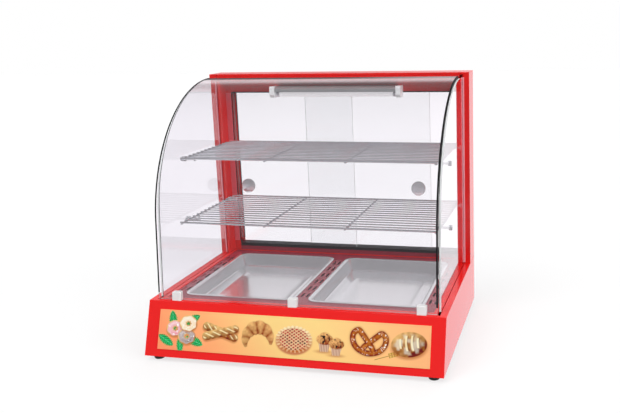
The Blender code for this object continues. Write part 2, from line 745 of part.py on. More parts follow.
def heater_route(centre_x):
    """The middle line of one element: up through the pan, to and fro under the tray, and down again."""
    first_x = centre_x - heater_reach()
    rear, front = heater_rear_y(), TRAY_CENTRE_Y - HEATER_LENGTH / 2
    rise = arc_points((rear - HEATER_BEND, HEATER_Z - HEATER_BEND), HEATER_BEND, 0, math.pi / 2, 3)
    route = [(first_x, rear, PAN_LOW - HEATER_TERMINAL)]
    route += [(first_x, y, z) for y, z in rise]
    turn = HEATER_PITCH / 2
    for gap in range(HEATER_LEGS - 1):
        middle = first_x + HEATER_PITCH * (gap + 0.5)
        at_front = gap % 2 == 0
        y = front + turn if at_front else rear - HEATER_BEND - turn
        sweep = math.pi if at_front else -math.pi
        route += [(px, py, HEATER_Z) for px, py in arc_points((middle, y), turn, math.pi, sweep, 6)]
    last_x = centre_x + heater_reach()
    route += [(last_x, y, z) for y, z in reversed(rise)]
    route.append((last_x, rear, PAN_LOW - HEATER_TERMINAL))
    return route


def tube(name, route, radius, resolution):
    """A round bar along a list of points, with flat ends."""
    curve = bpy.data.curves.new(name, "CURVE")
    curve.dimensions = "3D"
    curve.bevel_depth = radius
    curve.bevel_resolution = resolution
    curve.use_fill_caps = True
    spline = curve.splines.new("POLY")
    spline.points.add(len(route) - 1)
    for point, place in zip(spline.points, route):
        point.co = (*place, 1)
    thing = bpy.data.objects.new(name, curve)
    bpy.context.scene.collection.objects.link(thing)
    return thing


def make_heater(name, centre_x):
    """One tubular element, bent to and fro."""
    return dress(tube(name, heater_route(centre_x), HEATER_RADIUS, 2), "heater_sheath")


def make_post(name, side):
    """Hollow folded post: front flange, glass groove, inner face, and the slot that the door edges run in."""
    top, low = CASE_TOP, BASE_TOP + SEAT_GAP
    post = box(name, side_span(side, 0, POST_WIDTH), (PORTAL_FRONT_Y, REAR_Y), (low, top))
    jamb = box("jamb", side_span(side, POST_WIDTH - POST_WALL, JAMB_WIDTH), (JAMB_Y, REAR_Y), (low, top))
    fuse(post, jamb)
    open_low = low - CUT_OVERRUN
    slot = box(
        "door_slot",
        side_span(side, POST_WIDTH, JAMB_WIDTH + CUT_OVERRUN),
        (JAMB_Y + JAMB_SHEET, REAR_Y - JAMB_SHEET),
        (open_low, top - SHEET),
    )
    outer_hollow = box(
        "outer_hollow",
        side_span(side, SHEET, RIM_WIDTH - POST_WALL),
        (PORTAL_FRONT_Y + SHEET, REAR_Y - SHEET),
        (open_low, top - SHEET),
    )
    rear_hollow = box(
        "rear_hollow",
        side_span(side, RIM_WIDTH, POST_WIDTH - POST_WALL),
        (PORTAL_FRONT_Y + GROOVE_DEPTH + 2 * SHEET, REAR_Y - SHEET),
        (open_low, top - SHEET),
    )
    groove = box(
        "groove",
        side_span(side, RIM_WIDTH, RIM_WIDTH + GROOVE_WIDTH),
        (PORTAL_FRONT_Y - CUT_OVERRUN, PORTAL_FRONT_Y + GROOVE_DEPTH + SHEET),
        (open_low, top - SHEET),
    )
    notch = box(
        "notch",
        side_span(side, GLASS_INSET - SEAT_GAP, POST_WIDTH + CUT_OVERRUN),
        (PORTAL_FRONT_Y - CUT_OVERRUN, PORTAL_FRONT_Y + GLASS_TUCK + SEAT_GAP),
        tuck_span(),
    )
    cut(post, slot, outer_hollow, rear_hollow, groove, notch)
    return dress(post, "red_paint")


def tuck_span():
    """The heights between which the front glass's tail enters the beam."""
    inner = inward_of(FRONT_CURVE, GLASS_THICKNESS)
    tail_low = inner[-1][1] - GLASS_TUCK * math.tan(GLASS_TAIL_LEAN)
    return tail_low - SEAT_GAP, GLASS_TOP_Z + SEAT_GAP


def beam_x():
    """Half the beam's length, between the posts' inner faces."""
    return HALF_WIDTH - POST_WIDTH - SEAT_GAP


def make_top_beam():
    """Hollow folded beam: front lip, sloped ceiling, header and the channel for the upper door track."""
    channel_front = JAMB_Y + JAMB_SHEET
    channel_rear = REAR_Y - JAMB_SHEET
    x = beam_x()
    inner_x = HALF_WIDTH - JAMB_WIDTH - SEAT_GAP
    face_low = CASE_TOP - BEAM_FACE
    outline = [
        (PORTAL_FRONT_Y, CASE_TOP),
        (PORTAL_FRONT_Y, face_low),
        (JAMB_Y - SEAT_GAP, CEILING_Z),
        (JAMB_Y - SEAT_GAP, CASE_TOP),
    ]
    header = [
        (JAMB_Y - JAMB_SHEET, CASE_TOP),
        (JAMB_Y - JAMB_SHEET, CEILING_Z),
        (JAMB_Y, CEILING_Z - JAMB_SHEET),
        (JAMB_Y, BEAM_LOW),
        (channel_front, BEAM_LOW),
        (channel_front, upper_channel_top()),
        (channel_rear, upper_channel_top()),
        (channel_rear, BEAM_LOW),
        (REAR_Y, BEAM_LOW),
        (REAR_Y, CASE_TOP),
    ]
    beam = prism("top_beam", outline, "X", (-x, x))
    fuse(beam, prism("header", header, "X", (-inner_x, inner_x)))
    hollow = [
        (PORTAL_FRONT_Y + SHEET, CASE_TOP - SHEET),
        (PORTAL_FRONT_Y + SHEET, face_low + SHEET),
        (JAMB_Y - JAMB_SHEET - SHEET, CEILING_Z + 2 * SHEET),
        (JAMB_Y - JAMB_SHEET - SHEET, CASE_TOP - SHEET),
    ]
    rear_hollow = [
        (JAMB_Y + SHEET, CASE_TOP - SHEET),
        (JAMB_Y + SHEET, upper_channel_top() + SHEET),
        (REAR_Y - SHEET, upper_channel_top() + SHEET),
        (REAR_Y - SHEET, CASE_TOP - SHEET),
    ]
    open_x = (-x - CUT_OVERRUN, x + CUT_OVERRUN)
    slot = box(
        "slot",
        open_x,
        (PORTAL_FRONT_Y - CUT_OVERRUN, PORTAL_FRONT_Y + GLASS_TUCK + SEAT_GAP),
        tuck_span(),
    )
    cut(beam, prism("hollow", hollow, "X", open_x), prism("rear_hollow", rear_hollow, "X", open_x), slot)
    return dress(beam, "red_paint")


def upper_channel_top():
    """The ceiling of the channel that holds the upper door track."""
    return UPPER_TRACK_LOW + UPPER_GROOVE_DEPTH + 2 * SHEET


def door_grooves(low, high):
    """Two long cutters, one for each door's groove."""
    cutters = []
    x = HALF_WIDTH
    for y in (FRONT_TRACK_Y, REAR_TRACK_Y):
        cutters.append(box("groove", (-x, x), (y - DOOR_GROOVE / 2, y + DOOR_GROOVE / 2), (low, high)))
    return joined("grooves", cutters)


def make_tracks():
    """The sill and the two black tracks that the doors slide in."""
    inner_x = HALF_WIDTH - JAMB_WIDTH - SEAT_GAP
    sill = box("door_sill", (-inner_x, inner_x), (JAMB_Y, REAR_Y), (BASE_TOP + SEAT_GAP, SILL_TOP))
    dress(sill, "red_paint")
    x = HALF_WIDTH - POST_WIDTH - SEAT_GAP
    lower = box("lower_door_track", (-x, x), (TRACK_FRONT_Y, TRACK_REAR_Y), (TRACK_LOW, TRACK_TOP))
    cut(lower, door_grooves(TRACK_TOP - TRACK_GROOVE_DEPTH, TRACK_TOP + CUT_OVERRUN))
    dress(lower, "black_track")
    upper_top = upper_channel_top() - SEAT_GAP
    depth = (TRACK_FRONT_Y, TRACK_REAR_Y)
    upper = box("upper_door_track", (-inner_x, inner_x), depth, (UPPER_TRACK_LOW, upper_top))
    cut(upper, door_grooves(UPPER_TRACK_LOW - CUT_OVERRUN, UPPER_TRACK_LOW + UPPER_GROOVE_DEPTH))
    dress(upper, "black_track")


def make_front_glass():
    """The bent front glass, from its foot in the clips to its tail in the beam."""
    x = HALF_WIDTH - GLASS_INSET
    outline = FRONT_CURVE + list(reversed(inward_of(FRONT_CURVE, GLASS_THICKNESS)))
    return dress(shade_round(prism("front_glass", outline, "X", (-x, x)), math.radians(20)), "clear_glass")


def make_side_glass(name, side):
    """Flat side glass: its curved edge follows the front glass, its foot and rear edge sit in grooves."""
    foot_y = GLASS_FOOT_Y + GLASS_THICKNESS + SIDE_GLASS_SETBACK
    groove_floor = BASE_TOP - GROOVE_DEPTH + SEAT_GAP
    top = tuck_span()[0] - SEAT_GAP
    rear = PORTAL_FRONT_Y + GROOVE_DEPTH
    curve = glass_curve(foot_y, BASE_TOP, top, PORTAL_FRONT_Y, GLASS_TAIL - GLASS_TUCK)
    outline = [(foot_y, groove_floor)] + curve + [(rear, top), (rear, groove_floor)]
    near = RIM_WIDTH + SEAT_GAP
    glass = prism(name, outline, "X", side_span(side, near, near + GLASS_THICKNESS))
    for height in (UPPER_SHELF_HEIGHT, LOWER_SHELF_HEIGHT):
        y, z = front_peg_place(height)
        start = (side_x(side, near - CUT_OVERRUN), y, z)
        length = GLASS_THICKNESS + 2 * CUT_OVERRUN
        cut(glass, drum("hole", start, (-side, 0, 0), PEG_RADIUS + SEAT_GAP, length, 12))
    return dress(glass, "clear_glass")


def make_clips():
    """White clips that hold the foot of the front glass, each with a leaning slot."""
    lean = math.tan(GLASS_LEAN)
    low = BASE_TOP + SEAT_GAP
    high = low + CLIP_HEIGHT
    floor = GLASS_FOOT_Z - GLASS_THICKNESS * math.sin(GLASS_LEAN) - SEAT_GAP
    glass_length = CASE_WIDTH - 2 * GLASS_INSET

    def glass_y(z):
        return GLASS_FOOT_Y + (z - GLASS_FOOT_Z) * lean

    near, far = -SEAT_GAP, GLASS_THICKNESS / math.cos(GLASS_LEAN) + SEAT_GAP
    outline = [
        (glass_y(low) - CLIP_JAW, low),
        (glass_y(low) + far + CLIP_JAW, low),
        (glass_y(high) + far + CLIP_JAW, high),
        (glass_y(high) + far, high),
        (glass_y(floor) + far, floor),
        (glass_y(floor) + near, floor),
        (glass_y(high) + near, high),
        (glass_y(high) + near - CLIP_JAW, high),
    ]
    for share, hand in zip(CLIP_PLACE_SHARES, ("left", "centre", "right")):
        x = (share - 0.5) * glass_length
        clip = prism(f"glass_clip_{hand}", outline, "X", (x - CLIP_WIDTH / 2, x + CLIP_WIDTH / 2))
        dress(clip, "white_plastic")


def cross_rod_drop():
    """How far the cross rods lie under the wires."""
    return FRAME_ROD_RADIUS + WIRE_RADIUS - WELD_DEPTH


def peg_z(height):
    """The height of the pegs that carry a shelf's end rods from below."""
    return BASE_LOW + height - cross_rod_drop() - FRAME_ROD_RADIUS - SEAT_GAP - PEG_RADIUS


def front_peg_place(height):
    """The y and z of a front peg, in the side glass."""
    return FRONT_Y + PEG_FRONT_PLACE, peg_z(height)


def rear_peg_place(height):
    """The y and z of a rear peg, on the post."""
    return PORTAL_FRONT_Y + PEG_REAR_SETBACK, peg_z(height)


def make_shelf(name, shelf_front, height):
    """Wire shelf: long wires laid on four cross rods, with a thicker rod at the front and the rear."""
    z = BASE_LOW + height
    front = FRONT_Y + shelf_front
    rear = JAMB_Y - SHELF_REAR_GAP
    half = SHELF_LENGTH / 2
    count = round((rear - front) / WIRE_PITCH)
    wires = []
    for i in range(count + 1):
        y = front + (rear - front) * i / count
        edge = i in (0, count)
        radius = FRAME_ROD_RADIUS if edge else WIRE_RADIUS
        wires.append(drum("wire", (-half, y, z), (1, 0, 0), radius, SHELF_LENGTH, 8 if edge else 6))
    shelf = joined(name, wires)
    cross = []
    for share in CROSS_ROD_SHARES:
        x = share * (SHELF_LENGTH - 2 * FRAME_ROD_RADIUS)
        place = (x, front - FRAME_ROD_RADIUS / 2, z - cross_rod_drop())
        cross.append(drum("cross", place, (0, 1, 0), FRAME_ROD_RADIUS, rear - front + FRAME_ROD_RADIUS, 8))
    fuse(shelf, joined("cross_rods", cross))
    return dress(shade_round(shelf), "chrome_wire")


def peg_tip(end):
    """The profile of a peg's flanged end, which keeps the shelf's end rod on the pin."""
    return [
        (PEG_RADIUS, end - PEG_TIP),
        (PEG_TIP_RADIUS, end - PEG_TIP),
        (PEG_TIP_RADIUS, end - PEG_TIP / 3),
        (PEG_TIP_RADIUS - PEG_TIP / 3, end),
        (0, end),
    ]


def make_front_peg(name, side, height):
    """Peg through the side glass: an outer head, a collar inside, and the flanged pin under the shelf."""
    y, z = front_peg_place(height)
    outer = RIM_WIDTH
    collar = PEG_HEAD + GLASS_THICKNESS + 2 * SEAT_GAP
    profile = [
        (0, 0),
        (PEG_HEAD_RADIUS - PEG_HEAD / 3, 0),
        (PEG_HEAD_RADIUS, PEG_HEAD / 3),
        (PEG_HEAD_RADIUS, PEG_HEAD),
        (PEG_RADIUS, PEG_HEAD),
        (PEG_RADIUS, collar),
        (PEG_HEAD_RADIUS, collar),
        (PEG_HEAD_RADIUS, collar + PEG_COLLAR),
        (PEG_RADIUS, collar + PEG_COLLAR),
    ]
    profile += peg_tip(PEG_HEAD + PEG_REACH - outer)
    body = lathe(name, profile, (side_x(side, outer - PEG_HEAD), y, z), (-side, 0, 0), 12)
    return dress(shade_round(body), "chrome_wire")


def make_rear_peg(name, side, height):
    """Peg on the post's inner face: a collar and the pin under the shelf."""
    y, z = rear_peg_place(height)
    start = POST_WIDTH + SEAT_GAP
    profile = [
        (0, 0),
        (PEG_HEAD_RADIUS, 0),
        (PEG_HEAD_RADIUS, PEG_COLLAR),
        (PEG_RADIUS, PEG_COLLAR),
    ]
    profile += peg_tip(PEG_REACH - start)
    body = lathe(name, profile, (side_x(side, start), y, z), (-side, 0, 0), 12)
    return dress(shade_round(body), "chrome_wire")


def make_lamp():
    """Strip lamp under the beam: folded housing, white end caps with sockets, and the tube between them."""
    half = LAMP_LENGTH / 2
    cap_x = half - LAMP_CAP_LENGTH
    front = LAMP_REAR_Y - LAMP_DEPTH
    low = LAMP_TOP - LAMP_HOUSING_HEIGHT
    outline = [
        (LAMP_REAR_Y, LAMP_TOP),
        (LAMP_REAR_Y, low),
        (front, low),
        (front, low + LAMP_HOUSING_HEIGHT / 2),
        (front + LAMP_DEPTH / 4, LAMP_TOP),
    ]
    housing_x = cap_x - SEAT_GAP
    dress(prism("lamp_housing", outline, "X", (LAMP_PLACE - housing_x, LAMP_PLACE + housing_x)), "stainless")
    tube_y = LAMP_REAR_Y - LAMP_DEPTH / 2
    tube_z = LAMP_TOP - LAMP_TUBE_DROP
    cap_outline = [
        (LAMP_REAR_Y, LAMP_TOP),
        (LAMP_REAR_Y, low),
        (tube_y + 2 * LAMP_TUBE_RADIUS - LAMP_CAP_PROUD, LAMP_TOP - LAMP_CAP_HEIGHT),
        (front + LAMP_CAP_PROUD, LAMP_TOP - LAMP_CAP_HEIGHT),
        (front - LAMP_CAP_PROUD, LAMP_TOP - LAMP_TUBE_DROP),
        (front - LAMP_CAP_PROUD, LAMP_TOP - LAMP_CAP_PROUD),
        (front, LAMP_TOP),
    ]
    for side, hand in ((-1, "left"), (1, "right")):
        span = (LAMP_PLACE + side * cap_x, LAMP_PLACE + side * half)
        cap = prism(f"lamp_cap_{hand}", cap_outline, "X", span)
        start = (LAMP_PLACE + side * (cap_x - CUT_OVERRUN), tube_y, tube_z)
        depth = CUT_OVERRUN + LAMP_SOCKET_DEPTH
        cut(cap, drum("socket", start, (side, 0, 0), LAMP_TUBE_RADIUS + SEAT_GAP, depth, 16))
        dress(cap, "white_plastic")
    tube_x = cap_x + LAMP_SOCKET_DEPTH - SEAT_GAP
    glow = drum("lamp_tube", (LAMP_PLACE - tube_x, tube_y, tube_z), (1, 0, 0), LAMP_TUBE_RADIUS, 2 * tube_x, 16)
    dress(shade_round(glow), "lamp_glow")


def make_door(name, edge_x, y, pull_side):
    """One sliding door from its left edge, and the cup pull in its outer hole."""
    glass = box(name, (edge_x, edge_x + DOOR_WIDTH), (y - DOOR_GLASS / 2, y + DOOR_GLASS / 2), (DOOR_LOW, DOOR_TOP))
    middle = edge_x + DOOR_WIDTH / 2
    pull_x = middle + pull_side * (DOOR_WIDTH / 2 - PULL_INSET)
    pull_z = BASE_LOW + PULL_HEIGHT
    hole_start = (pull_x, y - DOOR_GLASS / 2 - CUT_OVERRUN, pull_z)
    hole = drum("hole", hole_start, (0, 1, 0), PULL_RADIUS + SEAT_GAP, DOOR_GLASS + 2 * CUT_OVERRUN, 24)
    dress(cut(glass, hole), "door_glass")
    length = DOOR_GLASS + 2 * SEAT_GAP
    bore = PULL_RADIUS - PULL_WALL
    rim = PULL_RADIUS + PULL_RIM
    profile = [
        (0, 0),
        (rim - PULL_RIM / 2, 0),
        (rim, PULL_RIM_THICKNESS / 2),
        (rim, PULL_RIM_THICKNESS),
        (PULL_RADIUS, PULL_RIM_THICKNESS),
        (PULL_RADIUS, length + PULL_RIM_THICKNESS),
        (rim, length + PULL_RIM_THICKNESS),
        (rim, length + PULL_RIM_THICKNESS * 3 / 2),
        (rim - PULL_RIM / 2, length + 2 * PULL_RIM_THICKNESS),
        (bore, length + 2 * PULL_RIM_THICKNESS),
        (bore, PULL_WALL),
        (0, PULL_WALL),
    ]
    start = (pull_x, y - DOOR_GLASS / 2 - SEAT_GAP - PULL_RIM_THICKNESS, pull_z)
    pull = lathe(f"{name}_pull", profile, start, (0, 1, 0), 24)
    dress(shade_round(pull), "stainless")


def control_place(x):
    """A point on the rear panel's outer face."""
    return Vector((x, PANEL_OUTER_Y, CONTROL_Z))


def make_rear_panel():
    """Plate behind the rear window, with a hole for every control."""
    x = HALF_WIDTH - WINDOW_SIDE_MARGIN + PANEL_OVERLAP
    low = BASE_LOW + WINDOW_LOW_MARGIN - PANEL_OVERLAP
    high = BASE_TOP - WINDOW_TOP_MARGIN + PANEL_OVERLAP
    panel = box("rear_control_panel", (-x, x), (PANEL_INNER_Y, PANEL_OUTER_Y), (low, high))
    start = Vector((0, -SHEET - CUT_OVERRUN, 0))
    length = SHEET + 2 * CUT_OVERRUN
    holes = []
    round_holes = (
        (THERMOSTAT_PLACE, bush_radius() + SEAT_GAP),
        (INDICATOR_PLACE, INDICATOR_RADIUS + SEAT_GAP),
        (GLAND_PLACE, GLAND_RADIUS + SEAT_GAP),
    )
    for place, radius in round_holes:
        holes.append(drum("hole", control_place(place) + start, (0, 1, 0), radius, length, 20))
    y_span = (PANEL_INNER_Y - CUT_OVERRUN, PANEL_OUTER_Y + CUT_OVERRUN)
    for place in (LIGHT_SWITCH_PLACE, HEATER_SWITCH_PLACE):
        half_x, half_z = switch_body_half()
        x_span = (place - half_x - SEAT_GAP, place + half_x + SEAT_GAP)
        holes.append(box("hole", x_span, y_span, (CONTROL_Z - half_z - SEAT_GAP, CONTROL_Z + half_z + SEAT_GAP)))
    for corner in panel_screw_places():
        holes.append(drum("hole", Vector(corner) + start, (0, 1, 0), screw_hole_radius(), length, 10))
    cut(panel, joined("holes", holes))
    return dress(panel, "red_paint")


def screw_hole_radius():
    """The hole that a panel screw passes through."""
    return PANEL_SCREW_SHANK_RADIUS + SEAT_GAP


def panel_screw_places():
    """The corners of the rear panel's overlap, on its outer face."""
    x = HALF_WIDTH - WINDOW_SIDE_MARGIN + PANEL_SCREW_INSET
    low = BASE_LOW + WINDOW_LOW_MARGIN + PANEL_SCREW_INSET * 2
    high = BASE_TOP - WINDOW_TOP_MARGIN - PANEL_SCREW_INSET * 2
    return [(side * x, PANEL_OUTER_Y, z) for side in (-1, 1) for z in (low, high)]


def drill_shell_for_screws(shell):
    """Holes in the housing's rear wall for the panel screws."""
    holes = []
    for x, _, z in panel_screw_places():
        start = (x, REAR_Y - SHEET - CUT_OVERRUN / 4, z)
        holes.append(drum("hole", start, (0, 1, 0), screw_hole_radius(), SHEET + CUT_OVERRUN, 10))
    return cut(shell, joined("holes", holes))


def make_panel_screws():
    """Four screws that hold the rear panel to the housing."""
    names = ("left_low", "left_high", "right_low", "right_high")
    reach = 2 * SHEET + 2 * SEAT_GAP + CUT_OVERRUN
    head = PANEL_SCREW_HEAD
    for name, (x, _, z) in zip(names, panel_screw_places()):
        profile = [
            (0, 0),
            (PANEL_SCREW_SHANK_RADIUS, 0),
            (PANEL_SCREW_SHANK_RADIUS, reach),
            (PANEL_SCREW_RADIUS, reach),
            (PANEL_SCREW_RADIUS, reach + head / 2),
            (PANEL_SCREW_RADIUS - head / 2, reach + head),
            (0, reach + head),
        ]
        start = (x, REAR_Y + SEAT_GAP - reach, z)
        screw = lathe(f"panel_screw_{name}", profile, start, (0, 1, 0), 12)
        dress(shade_round(screw), "zinc_screw")


def bush_radius():
    """The outer radius of the thermostat's bush."""
    return SPINDLE_RADIUS + SPINDLE_CLEARANCE + BUSH_WALL


def make_thermostat():
    """Thermostat behind the panel, its spindle, and the fluted knob that turns with the spindle."""
    place = control_place(THERMOSTAT_PLACE)
    front = PANEL_INNER_Y - SEAT_GAP
    half = THERMOSTAT_SIDE / 2
    x, z = place.x, place.z
    body = box("thermostat_body", (x - half, x + half), (front - THERMOSTAT_DEPTH, front), (z - half, z + half))
    bush_length = SHEET + SEAT_GAP + SHEET
    fuse(body, drum("bush", (x, front - SHEET, z), (0, 1, 0), bush_radius(), SHEET + bush_length, 20))
    bore_start = (x, front - SPINDLE_DEPTH - SEAT_GAP, z)
    bore = SPINDLE_RADIUS + SPINDLE_CLEARANCE
    cut(body, drum("bore", bore_start, (0, 1, 0), bore, SPINDLE_DEPTH + bush_length + CUT_OVERRUN, 24))
    dress(body, "black_plastic")
    knob_back = front + bush_length + SEAT_GAP
    knob_front = REAR_Y + CONTROL_REACH
    spindle_end = knob_front - KNOB_SKIRT
    spindle_start = front - SPINDLE_DEPTH
    spindle = drum(
        "thermostat_spindle", (x, spindle_start, z), (0, 1, 0), SPINDLE_RADIUS, spindle_end - spindle_start, 24
    )
    dress(shade_round(spindle), "zinc_screw")
    make_knob((x, knob_back, z), knob_front - knob_back, spindle_end - knob_back)


def make_knob(place, length, bore_length):
    """Skirt, fluted grip and a raised pointer, with a blind bore for the spindle."""
    x, y, z = place
    skirt_profile = [
        (0, 0),
        (KNOB_RADIUS, 0),
        (KNOB_RADIUS, KNOB_SKIRT * 3 / 4),
        (KNOB_RADIUS - KNOB_SKIRT / 4, KNOB_SKIRT),
        (0, KNOB_SKIRT),
    ]
    knob = lathe("thermostat_knob", skirt_profile, place, (0, 1, 0), 28)
    outline = []
    for step in range(2 * KNOB_FLUTES):
        radius = KNOB_GRIP_RADIUS - (FLUTE_DEPTH if step % 2 else 0)
        turn = math.pi * step / KNOB_FLUTES
        outline.append((x + radius * math.cos(turn), z + radius * math.sin(turn)))
    fuse(knob, prism("grip", outline, "Y", (y + KNOB_SKIRT / 2, y + length)))
    half = FLUTE_DEPTH
    pointer_z = (z + KNOB_GRIP_RADIUS / 2, z + KNOB_RADIUS - KNOB_SKIRT / 2)
    fuse(knob, box("pointer", (x - half, x + half), (y + KNOB_SKIRT / 2, y + length - KNOB_SKIRT), pointer_z))
    depth = bore_length + SEAT_GAP + CUT_OVERRUN
    cut(knob, drum("bore", (x, y - CUT_OVERRUN, z), (0, 1, 0), SPINDLE_RADIUS + SEAT_GAP, depth, 24))
    return dress(knob, "black_plastic")


def switch_body_half():
    """Half the width and height of a switch's body, which passes through the panel."""
    return BEZEL_WIDTH / 2 - SWITCH_WALL / 2, BEZEL_HEIGHT / 2 - SWITCH_WALL / 2


def make_switch(name, place_x, finish):
    """Rocker switch: a housing with a deep pocket and the rocker, tilted to off, on its cross axis."""
    face = PANEL_OUTER_Y + SEAT_GAP + BEZEL_THICKNESS
    half_x, half_z = switch_body_half()
    x, z = place_x, CONTROL_Z
    bezel_x, bezel_z = BEZEL_WIDTH / 2, BEZEL_HEIGHT / 2
    housing = box(
        f"{name}_housing",
        (x - bezel_x, x + bezel_x),
        (PANEL_OUTER_Y + SEAT_GAP, face),
        (z - bezel_z, z + bezel_z),
    )
    back = face - BEZEL_THICKNESS - SWITCH_DEPTH
    fuse(
        housing,
        box("body", (x - half_x, x + half_x), (back, face - BEZEL_THICKNESS / 2), (z - half_z, z + half_z)),
    )
    pocket_x, pocket_z = bezel_x - SWITCH_WALL, bezel_z - SWITCH_WALL
    pocket = box(
        "pocket",
        (x - pocket_x, x + pocket_x),
        (back + 2 * SWITCH_WALL, face + CUT_OVERRUN),
        (z - pocket_z, z + pocket_z),
    )
    dress(cut(housing, pocket), "black_plastic")
    pivot = Vector((face - ROCKER_BODY / 2, z))
    half = pocket_z - ROCKER_SIDE_GAP - ROCKER_BODY * math.sin(ROCKER_TILT)
    top = ROCKER_BODY / 2
    local = [
        (top + ROCKER_RISE - ROCKER_DIP, -half),
        (top + ROCKER_RISE - 2 * ROCKER_DIP, 0),
        (top + ROCKER_RISE - ROCKER_DIP, half),
        (-top, half * 3 / 4),
        (-ROCKER_BODY, 0),
        (-top, -half * 3 / 4),
    ]
    turn = Matrix.Rotation(ROCKER_TILT, 2)
    outline = [tuple(pivot + turn @ Vector(pair)) for pair in local]
    width = pocket_x - ROCKER_SIDE_GAP
    rocker = prism(f"{name}_rocker", outline, "X", (x - width, x + width))
    dress(rocker, finish)


def make_indicator():
    """Heating lamp with its bezel and body in one."""
    behind = THERMOSTAT_DEPTH / 2
    ahead = PANEL_OUTER_Y + SEAT_GAP - (PANEL_INNER_Y - behind)
    profile = [
        (0, 0),
        (INDICATOR_RADIUS, 0),
        (INDICATOR_RADIUS, ahead),
        (INDICATOR_BEZEL, ahead),
        (INDICATOR_BEZEL, ahead + BEZEL_THICKNESS / 2),
        (INDICATOR_RADIUS, ahead + BEZEL_THICKNESS),
    ]
    for step in range(1, 4):
        turn = math.pi / 2 * step / 4
        height = ahead + BEZEL_THICKNESS + INDICATOR_DOME * math.sin(turn)
        profile.append((INDICATOR_RADIUS * math.cos(turn), height))
    profile.append((0, ahead + BEZEL_THICKNESS + INDICATOR_DOME))
    start = (INDICATOR_PLACE, PANEL_INNER_Y - behind, CONTROL_Z)
    return dress(shade_round(lathe("heating_indicator", profile, start, (0, 1, 0), 20)), "red_lens")


def make_gland():
    """Inlet gland for the mains lead, with its bore left open."""
    behind = GLAND_NUT
    ahead = PANEL_OUTER_Y + SEAT_GAP - (PANEL_INNER_Y - behind)
    profile = [
        (0, PULL_WALL),
        (GLAND_BORE_RADIUS, PULL_WALL),
        (GLAND_BORE_RADIUS, ahead + GLAND_NUT + GLAND_DOME),
        (GLAND_RADIUS, ahead + GLAND_NUT + GLAND_DOME),
        (GLAND_NUT_RADIUS - BUSH_WALL, ahead + GLAND_NUT),
        (GLAND_NUT_RADIUS, ahead + GLAND_NUT * 3 / 4),
        (GLAND_NUT_RADIUS, ahead),
        (GLAND_RADIUS, ahead),
        (GLAND_RADIUS, 0),
        (0, 0),
    ]
    start = (GLAND_PLACE, PANEL_INNER_Y - behind, CONTROL_Z)
    return dress(shade_round(lathe("cable_gland", profile, start, (0, 1, 0), 18)), "black_plastic")


def make_terminal_block():
    """Terminal block on the bottom plate, with a row of screw wells."""
    (length, width, height), (x, y) = TERMINAL_SIZE, TERMINAL_PLACE
    low = BOTTOM_PLATE_TOP + SEAT_GAP
    x_span = (x - length / 2, x + length / 2)
    block = box("terminal_block", x_span, (y - width / 2, y + width / 2), (low, low + height))
    wells = []
    for i in range(TERMINAL_WELLS):
        well_x = x + (i - (TERMINAL_WELLS - 1) / 2) * length / TERMINAL_WELLS
        start = (well_x, y, low + height / 2)
        wells.append(drum("well", start, (0, 0, 1), TERMINAL_WELL_RADIUS, height, 10))
    return dress(cut(block, joined("wells", wells)), "white_plastic")


def make_ballast():
    """Lamp ballast on the bottom plate, with a fixing tab at each end."""
    (length, width, height), (x, y) = BALLAST_SIZE, BALLAST_PLACE
    low = BOTTOM_PLATE_TOP + SEAT_GAP
    half, tab = length / 2, length / 2 + BALLAST_TAB
    outline = [
        (x - tab, low),
        (x + tab, low),
        (x + tab, low + SHEET),
        (x + half, low + SHEET),
        (x + half - SHEET, low + height),
        (x - half + SHEET, low + height),
        (x - half, low + SHEET),
        (x - tab, low + SHEET),
    ]
    return dress(prism("lamp_ballast", outline, "Y", (y - width / 2, y + width / 2)), "galvanised")


def make_shelves_and_pegs():
    """Both shelves and the eight pegs that carry them."""
    rows = (
        ("upper", UPPER_SHELF_FRONT, UPPER_SHELF_HEIGHT),
        ("lower", LOWER_SHELF_FRONT, LOWER_SHELF_HEIGHT),
    )
    for level, front, height in rows:
        make_shelf(f"{level}_shelf", front, height)
        for side, hand in ((-1, "left"), (1, "right")):
            make_front_peg(f"{level}_front_peg_{hand}", side, height)
            make_rear_peg(f"{level}_rear_peg_{hand}", side, height)


def make_doors():
    """The left door nearly shut in the front track, the right door slid open in the rear one."""
    make_door("left_door", LEFT_DOOR_OPEN - DOOR_LIMIT, FRONT_TRACK_Y, -1)
    make_door("right_door", DOOR_LIMIT - DOOR_WIDTH - RIGHT_DOOR_OPEN, REAR_TRACK_Y, 1)


def build():
    """Make every piece of the warmer."""
    clear_scene()
    drill_shell_for_screws(make_base_shell())
    make_bottom_plate()
    make_feet()
    make_front_picture_panel()
    make_deck_plate()
    make_tray("left_tray", -TRAY_CENTRE_X)
    make_tray("right_tray", TRAY_CENTRE_X)
    make_heat_pan()
    make_heater("left_heater", -TRAY_CENTRE_X)
    make_heater("right_heater", TRAY_CENTRE_X)
    make_post("left_post", -1)
    make_post("right_post", 1)
    make_top_beam()
    make_tracks()
    make_front_glass()
    make_side_glass("left_side_glass", -1)
    make_side_glass("right_side_glass", 1)
    make_clips()
    make_shelves_and_pegs()
    make_lamp()
    make_doors()
    make_rear_panel()
    make_panel_screws()
    make_thermostat()
    make_switch("light_switch", LIGHT_SWITCH_PLACE, "green_lens")
    make_switch("heater_switch", HEATER_SWITCH_PLACE, "red_lens")
    make_indicator()
    make_gland()
    make_terminal_block()
    make_ballast()


build()
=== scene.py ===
"""Looks of a countertop pastry warmer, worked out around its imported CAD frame.

Every length is in metres in the frame's own axes: +Z up, the front faces -Y. CAD nodes whose shape is
right keep it and get a finish; pieces that are computed here as whole numpy arrays stand for the others."""

from __future__ import annotations

import json
import logging
import math
from dataclasses import dataclass
from enum import Enum
from typing import Sequence

import bpy
import numpy as np
from mathutils import Matrix, Vector

